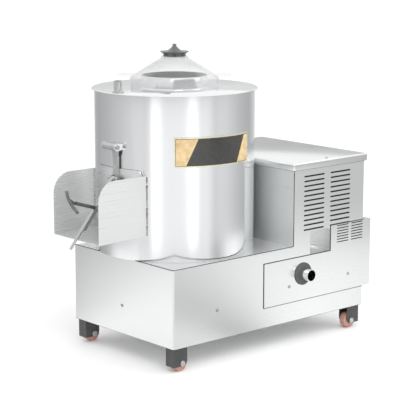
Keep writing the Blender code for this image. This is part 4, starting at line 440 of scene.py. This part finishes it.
def curved_slab(outline, thickness, proud, steps=28):
    """A thin plate that hugs the drum: outline(share along) gives the angle and both heights."""
    bm = bmesh.new()
    rings = []
    for step in range(steps + 1):
        angle, low, high = outline(step / steps)
        corners = ((low, proud), (high, proud), (high, proud + thickness), (low, proud + thickness))
        rings.append([bm.verts.new(on_drum(angle, height, out)) for height, out in corners])
    for first, second in zip(rings, rings[1:]):
        for side in range(4):
            after = (side + 1) % 4
            bm.faces.new([first[side], first[after], second[after], second[side]])
    bm.faces.new(rings[0])
    bm.faces.new(rings[-1])
    return bm


BADGE_START = -131.0
BADGE_END = -68.2
BADGE_TOP = 0.680
BADGE_HEIGHT = 0.090
BADGE_BORDER = 0.005
BADGE_PROUD = 0.0004
BADGE_FRAME_THICKNESS = 0.001
BADGE_FIELD_THICKNESS = 0.0006
BADGE_FIELD_PROUD = BADGE_PROUD + 0.0011
BADGE_END_LAYERS = (BADGE_PROUD + 0.0018, BADGE_PROUD + 0.0022)
BADGE_END_RIM = 0.0012
BADGE_END_COLUMNS = 14
BADGE_END_ROWS = 2
# Widths in degrees at the wide and the narrow edge
BADGE_LEFT_END = (15.5, 7.0)
BADGE_RIGHT_END = (12.5, 4.5)


def add_badge(materials):
    """A plain plate without words: pale metal frame, dark field, tan ends with sloping edges."""
    border_angle = math.degrees(BADGE_BORDER / DRUM_RADIUS)
    low, high = BADGE_TOP - BADGE_HEIGHT, BADGE_TOP

    def plain(start, end, bottom, top):
        return lambda share: (start + (end - start) * share, bottom, top)

    plate = curved_slab(plain(BADGE_START, BADGE_END, low, high), BADGE_FRAME_THICKNESS, BADGE_PROUD)
    object_from(plate, "badge_frame", materials["badge_frame"], "housing")
    inner = (BADGE_START + border_angle, BADGE_END - border_angle)
    bottom, top = low + BADGE_BORDER, high - BADGE_BORDER
    field = curved_slab(plain(*inner, bottom, top), BADGE_FIELD_THICKNESS, BADGE_FIELD_PROUD)
    object_from(field, "badge_field", materials["badge_field"], "housing")
    margin = math.degrees(BADGE_END_RIM / DRUM_RADIUS)
    heights = (bottom + BADGE_END_RIM, top - BADGE_END_RIM)
    add_badge_end(materials, "left", inner[0] + margin, BADGE_LEFT_END, heights, 1)
    add_badge_end(materials, "right", inner[1] - margin, BADGE_RIGHT_END, heights, -1)


def add_badge_end(materials, name, start, widths, heights, flip):
    """A tan end with a sloping inner edge, as two layers of points and the faces between them."""
    wide, narrow = widths
    bottom, top = heights
    columns, rows = BADGE_END_COLUMNS, BADGE_END_ROWS
    bm = bmesh.new()
    grid = []
    for row in range(rows + 1):
        height = bottom + (top - bottom) * row / rows
        share = row / rows if flip > 0 else 1 - row / rows
        width = narrow + (wide - narrow) * share
        angles = [start + flip * width * column / columns for column in range(columns + 1)]
        grid.append([
            [bm.verts.new(on_drum(angle, height, proud)) for angle in angles]
            for proud in BADGE_END_LAYERS
        ])
    for lower, upper in zip(grid, grid[1:]):
        for column in range(columns):
            for layer in (0, 1):
                a, b = lower[layer], upper[layer]
                bm.faces.new([a[column], a[column + 1], b[column + 1], b[column]])
        for end in (0, columns):
            bm.faces.new([lower[0][end], upper[0][end], upper[1][end], lower[1][end]])
    for inside, outside in (grid[0], grid[-1]):
        for column in range(columns):
            after = column + 1
            bm.faces.new([inside[column], inside[after], outside[after], outside[column]])
    object_from(bm, f"badge_end_{name}", materials["badge_end"], "housing")


def rod(bm, centre, axis, radius, length, sides=20, dome=0.0):
    """A short round pin along the axis, with a domed outer end."""
    along = Vector(axis).normalized()
    across = along.orthogonal().normalized()
    up = along.cross(across)
    profile = [(radius, 0.0), (radius, length)]
    for lean in (22.5, 45, 67.5) if dome else ():
        turn = math.radians(lean)
        profile.append((radius * math.cos(turn), length + dome * math.sin(turn)))
    rings = []
    for ring_radius, height in profile:
        rings.append([
            bm.verts.new(centre + along * height + (across * math.cos(t) + up * math.sin(t)) * ring_radius)
            for t in (2 * math.pi * side / sides for side in range(sides))
        ])
    for first, second in zip(rings, rings[1:]):
        for side in range(sides):
            after = (side + 1) % sides
            bm.faces.new([first[side], first[after], second[after], second[side]])
    bm.faces.new(rings[0])
    bm.faces.new(rings[-1])


# Screw heads: places along x, y and height from the base's front left corner; they dip in by SUNK
SUNK = 0.0003
PANEL_SCREWS_X = (0.467, 0.731)
PANEL_SCREWS_HEIGHT = 0.185
FRONT_SCREW = (0.170, 0.162)
LEFT_SCREW = (0.24, 0.159)
WASHER = (0.0052, 0.0008)
HEAD = (0.0036, 0.0006)
HEAD_OFFSET = 0.001
HEAD_DOME = 0.0012


def add_screws(materials):
    front, left = (0, -1, 0), (-1, 0, 0)
    panel_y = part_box("service_panel")[0].y - SHELL_LOW.y
    panel_left, panel_right = PANEL_SCREWS_X
    places = {
        "panel_screw_left": (in_world(panel_left, panel_y - SUNK, PANEL_SCREWS_HEIGHT), front),
        "panel_screw_right": (in_world(panel_right, panel_y - SUNK, PANEL_SCREWS_HEIGHT), front),
        "base_screw_front": (in_world(FRONT_SCREW[0], -SUNK, FRONT_SCREW[1]), front),
        "base_screw_left": (in_world(-SUNK, *LEFT_SCREW), left),
    }
    for name, (place, axis) in places.items():
        bm = bmesh.new()
        rod(bm, place, axis, *WASHER)
        rod(bm, place + Vector(axis) * HEAD_OFFSET, axis, *HEAD, dome=HEAD_DOME)
        object_from(bm, name, materials["zinc_plated"], "housing")
    knob_low, knob_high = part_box("lid_knob")
    middle = (knob_low + knob_high) / 2
    bm = bmesh.new()
    rod(bm, Vector((middle.x, middle.y, knob_high.z - 0.0002)), (0, 0, 1), 0.0035, 0.0006, dome=0.0008)
    object_from(bm, "knob_screw", materials["zinc_plated"], "lid")


# Painted seam shadows, welds, painted vent shade and the cover's screws


# Sizes of the painted seam shadows
SEAM_WIDE = 0.0019
SEAM_FINE = 0.0013
BASE_SHADOW_RADIUS = 0.0015
WELD_SIZES = (0.0020, 0.0036)
WELD_STEPS = (1.9, 3.4)
WELD_END_GAPS = (0.008, 0.004)
# Margin and depth of the painted vent shade boxes
SHADE_BOX_MARGIN = 0.003
SHADE_BOX_BEHIND = (0.0020, 0.0030)
COVER_SCREWS_X = 0.632
COVER_SCREWS_INSET = (0.014, 0.012)
COVER_WASHER = (0.0048, 0.001)
COVER_HEAD = (0.0034, 0.0028)
COVER_HEAD_DOME = 0.0016


def half_round(bm, start, end, out, radius):
    """A bead with a half-round section from start to end, bulging towards out."""
    start, end, out = Vector(start), Vector(end), Vector(out)
    side = (end - start).cross(out).normalized()
    turns = [math.radians(angle) for angle in (0, 45, 90, 135, 180)]
    rows = [
        [bm.verts.new(place + side * radius * math.cos(turn) + out * radius * math.sin(turn)) for turn in turns]
        for place in (start, end)
    ]
    for index in range(len(turns)):
        after = (index + 1) % len(turns)
        bm.faces.new([rows[0][index], rows[0][after], rows[1][after], rows[1][index]])
    bm.faces.new(rows[0])
    bm.faces.new(rows[1])


def add_seam_shadows(materials):
    """Painted shade: dark lines that stand for the shadow gaps where sheets meet, under the cover's rim and along
    the base's bottom edge, and round the service panel.
    """
    panel_low, panel_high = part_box("service_panel")
    cover_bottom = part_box("cabinet_cover")[0].z
    left, right = SHELL_LOW.x, SHELL_HIGH.x
    front, back = SHELL_LOW.y, SHELL_HIGH.y
    bottom = SHELL_LOW.z
    corner = right - CABINET_LENGTH
    step = panel_high.x - PANEL_RISER
    shelf = panel_low.z + PANEL_LOW_HEIGHT
    wide, fine, base_shade = SEAM_WIDE, SEAM_FINE, BASE_SHADOW_RADIUS
    rim = cover_bottom - fine
    outer, panel_top = panel_low.x - fine, panel_high.z + fine
    up, down, ahead, aside = (0, 0, 1), (0, 0, -1), (0, -1, 0), (-1, 0, 0)
    runs = {
        "deck_seam_shadow": [
            ((left + wide, front + wide, DECK_TOP), (corner, front + wide, DECK_TOP), up, wide),
            ((left + wide, front + wide, DECK_TOP), (left + wide, back - wide, DECK_TOP), up, wide),
        ],
        "cabinet_seam_shadow": [
            ((corner, front, DECK_TOP + wide), (corner, front, cover_bottom - wide), ahead, fine),
            ((corner, front, rim), (right, front, rim), ahead, fine),
            ((corner, front + wide, rim), (corner, back - wide, rim), aside, fine),
        ],
        "base_edge_shadow": [
            ((left, front + base_shade, bottom), (right, front + base_shade, bottom), down, base_shade),
            ((left + base_shade, front, bottom), (left + base_shade, back, bottom), down, base_shade),
        ],
        "panel_seam_shadow": [
            ((outer, front, panel_low.z), (outer, front, shelf), ahead, fine),
            ((outer - fine, front, shelf + fine), (step, front, shelf + fine), ahead, fine),
            ((step - fine, front, shelf + fine), (step - fine, front, panel_high.z), ahead, fine),
            ((step - fine, front, panel_top), (right, front, panel_top), ahead, fine),
            ((outer, front, panel_low.z - fine), (right, front, panel_low.z - fine), ahead, fine),
        ],
    }
    for name, lines in runs.items():
        bm = bmesh.new()
        for start, end, out, radius in lines:
            half_round(bm, start, end, out, radius)
        object_from(bm, name, materials["seam_shadow_paint"], "housing")


def add_welds(materials):
    """Uneven weld beads where the chute's front plate meets the drum."""
    random = Random(7)
    low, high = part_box("discharge_chute")
    reach = low.y - DRUM.y
    x = DRUM.x - math.sqrt(DRUM_RADIUS ** 2 - reach ** 2)
    bm = bmesh.new()
    height = low.z + WELD_END_GAPS[0]
    while height < high.z - WELD_END_GAPS[1]:
        size = random.uniform(*WELD_SIZES)
        made = bmesh.ops.create_icosphere(bm, subdivisions=2, radius=size)
        along = x - 0.0008 + random.uniform(-0.0006, 0.0006)
        place = Vector((along, low.y + random.uniform(-0.0004, 0.0006), height))
        squash = Vector((1.1, 0.8, random.uniform(0.9, 1.6)))
        for vert in made["verts"]:
            vert.co = Vector(a * b for a, b in zip(vert.co, squash)) + place
        height += size * random.uniform(*WELD_STEPS)
    object_from(bm, "chute_weld_beads", materials["weld"], "housing")


def add_vent_shade_boxes(materials):
    """Painted shade: near-black boxes inside the two sheets, close behind the slots, that make the vents read
    dark.
    """
    panel_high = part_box("service_panel")[1]
    pocket_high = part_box("grip_pocket")[1]
    near, far = (SHELL_LOW.y + behind for behind in SHADE_BOX_BEHIND)
    first = SHELL_HIGH.x - CABINET_LENGTH + VENT_INSET
    last = first + VENT_WIDTH
    panel_first = panel_high.x - PANEL_RISER + PANEL_VENT_INSET
    panel_last = panel_first + PANEL_VENT_WIDTH
    panel_left = max(panel_first - SHADE_BOX_MARGIN, pocket_high.x + 0.0005)
    panel_right = min(panel_last + SHADE_BOX_MARGIN, SHELL_HIGH.x - 0.003)
    split = DECK_TOP + VENT_BOTTOM
    boxes = {
        "cabinet_vent_shade_box": (
            (first - SHADE_BOX_MARGIN, near, split + 0.0002),
            (last + SHADE_BOX_MARGIN, far, split + VENT_RISE + SHADE_BOX_MARGIN),
        ),
        "panel_vent_shade_box": (
            (panel_left, near, panel_high.z - PANEL_VENT_DROP - SHADE_BOX_MARGIN),
            (panel_right, far, split - 0.0004),
        ),
    }
    for name, (low, high) in boxes.items():
        bm = bmesh.new()
        bmesh.ops.create_cube(bm, size=1.0)
        for vert in bm.verts:
            vert.co = Vector(a + (b - a) * (c + 0.5) for a, b, c in zip(low, high, vert.co))
        object_from(bm, name, materials["vent_liner"], "housing")


def add_cover_screws(materials):
    cover_low, cover_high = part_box("cabinet_cover")
    x = SHELL_LOW.x + COVER_SCREWS_X
    front_y = cover_low.y + COVER_SCREWS_INSET[0]
    back_y = cover_high.y - COVER_SCREWS_INSET[1]
    for name, y in (("cover_screw_front", front_y), ("cover_screw_back", back_y)):
        bm = bmesh.new()
        rod(bm, Vector((x, y, cover_high.z + 0.0003)), (0, 0, 1), *COVER_WASHER)
        rod(bm, Vector((x, y, cover_high.z + 0.0014)), (0, 0, 1), *COVER_HEAD, dome=COVER_HEAD_DOME)
        object_from(bm, name, materials["chrome"], "housing")


# Studio


CAMERA_SIDE = CAMERA_AZIMUTH - 90
RING_SIDES = 120
RING_RADIUS = 1.8
COVE_HALF_LENGTH = 0.55
COVE_HALF_DEPTH = 0.30
LOW_TOP = 0.62
HIGH_TOP = 1.9

GLOW = 1.6
WORLD_STRENGTH = 1.08
FLOOR_SIZE = 30
FLOOR_LIFT = 0.001

# Angles round the studio, in degrees from the camera's side, and the brightness that gloss sees there
LOW_LIGHTS = (
    (-180, 0.85), (-160, 0.72), (-142, 0.46), (-126, 0.44), (-112, 0.49), (-98, 0.53), (-86, 0.60),
    (-74, 0.65), (-64, 0.72), (-54, 0.80), (-45, 0.81), (-39, 0.79), (-34, 0.90), (-30, 1.40),
    (-22, 1.32), (-16, 1.02), (-5, 1.00), (8, 1.02), (14, 1.12), (19, 1.46), (25, 1.40), (32, 0.97),
    (43, 0.97), (48, 0.86), (54, 0.74), (62, 0.78), (73, 0.76), (84, 0.68), (96, 0.60), (110, 0.53),
    (128, 0.48), (168, 0.80),
)
COVE_LIGHTS = (
    (-180, 0.60), (-150, 0.45), (-125, 0.40), (-110, 0.46), (-100, 0.58), (-92, 0.83), (-82, 1.10),
    (-70, 1.14), (-45, 0.95), (0, 0.85), (25, 0.90), (42, 0.90), (50, 0.62), (57, 0.54), (66, 0.78),
    (76, 1.08), (90, 1.15), (110, 0.85), (140, 0.6), (180, 0.60),
)
# Heights of the upper wall, and the brightness there
HIGH_LIGHTS = (
    (0.62, 0.50), (0.84, 0.53), (0.95, 0.55), (1.02, 0.72), (1.08, 1.00), (1.20, 1.05), (1.90, 1.1),
)
# Area lights: name, place, size and power
LAMPS = (("key", (-1.6, -2.6, 3.0), 2.2, 42.0), ("fill", (2.6, -1.6, 2.4), 2.2, 22.0))
LAMP_TARGET = (0, 0, 0.4)


def emitter(name, stops, source):
    """A light-giving surface whose brightness follows its angle round the origin, or its height."""
    material = bpy.data.materials.new(name)
    material.use_nodes = True
    tree = material.node_tree
    tree.nodes.remove(tree.nodes["Principled BSDF"])
    place = node(tree, "ShaderNodeTexCoord")
    split = node(tree, "ShaderNodeSeparateXYZ")
    share = node(tree, "ShaderNodeMapRange")
    tree.links.new(place.outputs["Object"], split.inputs["Vector"])
    if source == "turn":
        turn = node(tree, "ShaderNodeMath", operation="ARCTAN2")
        share.inputs["From Min"].default_value = -math.pi
        share.inputs["From Max"].default_value = math.pi
        tree.links.new(split.outputs["Y"], turn.inputs[0])
        tree.links.new(split.outputs["X"], turn.inputs[1])
        tree.links.new(turn.outputs["Value"], share.inputs["Value"])
    else:
        share.inputs["From Min"].default_value = LOW_TOP
        share.inputs["From Max"].default_value = HIGH_TOP
        tree.links.new(split.outputs["Z"], share.inputs["Value"])
    colour = ramp(tree, share.outputs["Result"], stops)
    light = node(tree, "ShaderNodeEmission")
    light.inputs["Strength"].default_value = GLOW
    tree.links.new(colour, light.inputs["Color"])
    tree.links.new(light.outputs["Emission"], tree.nodes["Material Output"].inputs["Surface"])
    return material


def turn_stops(lights):
    """Sorted stops for a ramp, as shares of the whole turn, from angles off the camera's side."""
    shares = {(angle + CAMERA_SIDE + 180) / 360 % 1: value / GLOW for angle, value in lights}
    return sorted(shares.items())


def circle(radius, z):
    turns = [2 * math.pi * side / RING_SIDES for side in range(RING_SIDES)]
    return [(radius * math.cos(turn), radius * math.sin(turn), z) for turn in turns]


def frame_round_base(z):
    """The base's footprint with a margin, one point for each side of a ring."""
    points = []
    for x, y, _ in circle(1.0, z):
        reach = min(COVE_HALF_LENGTH / max(abs(x), 1e-6), COVE_HALF_DEPTH / max(abs(y), 1e-6))
        points.append((x * reach, y * reach, z))
    return points


def ring(name, inner, outer, material):
    """A band between two closed rows of points that only gloss sees."""
    bm = bmesh.new()
    rows = [[bm.verts.new(point) for point in points] for points in (inner, outer)]
    for side in range(RING_SIDES):
        after = (side + 1) % RING_SIDES
        bm.faces.new([rows[0][side], rows[0][after], rows[1][after], rows[1][side]])
    mesh = bpy.data.meshes.new(name)
    bm.to_mesh(mesh)
    bm.free()
    mesh.materials.append(material)
    band = link(bpy.data.objects.new(name, mesh))
    band.visible_camera = False
    band.visible_diffuse = False
    band.visible_shadow = False
    band.visible_transmission = False
    return band


def add_studio():
    scene = bpy.context.scene
    scene.view_settings.view_transform = "Standard"
    world = bpy.data.worlds.new("studio")
    scene.world = world
    world.use_nodes = True
    background = world.node_tree.nodes["Background"]
    background.inputs["Color"].default_value = (1, 1, 1, 1)
    background.inputs["Strength"].default_value = WORLD_STRENGTH
    bm = bmesh.new()
    bmesh.ops.create_grid(bm, x_segments=1, y_segments=1, size=FLOOR_SIZE)
    mesh = bpy.data.meshes.new("floor")
    bm.to_mesh(mesh)
    bm.free()
    floor = link(bpy.data.objects.new("floor", mesh))
    material, tree, shader = new_material("pale_floor")
    grain = noise(tree, (4, 4, 4), detail=2.0)
    tree.links.new(ramp(tree, grain, [(0.3, 0.965), (0.7, 0.98)]), shader.inputs["Base Color"])
    shader.inputs["Roughness"].default_value = 0.9
    shader.inputs["Specular IOR Level"].default_value = 0.1
    mesh.materials.append(material)
    low = emitter("studio_low_light", turn_stops(LOW_LIGHTS), "turn")
    cove = emitter("studio_cove_light", turn_stops(COVE_LIGHTS), "turn")
    span = HIGH_TOP - LOW_TOP
    high_stops = [((z - LOW_TOP) / span, value / GLOW) for z, value in HIGH_LIGHTS]
    high = emitter("studio_high_light", high_stops, "height")
    foot = circle(RING_RADIUS, FLOOR_LIFT)
    ring("studio_low", foot, circle(RING_RADIUS, LOW_TOP), low)
    ring("studio_cove", frame_round_base(FLOOR_LIFT), foot, cove)
    ring("studio_high", circle(RING_RADIUS, LOW_TOP), circle(RING_RADIUS, HIGH_TOP), high)
    for name, place, size, power in LAMPS:
        light = bpy.data.lights.new(name, "AREA")
        light.size = size
        light.energy = power
        lamp = link(bpy.data.objects.new(name, light))
        lamp.location = place
        away = Vector(place) - Vector(LAMP_TARGET)
        lamp.rotation_euler = away.to_track_quat("Z", "Y").to_euler()


def main():
    add_camera()
    materials = make_materials()
    dress_nodes(materials)
    add_skins()
    add_badge(materials)
    add_screws(materials)
    add_seam_shadows(materials)
    add_welds(materials)
    add_cover_screws(materials)
    add_vent_shade_boxes(materials)
    add_studio()


main()
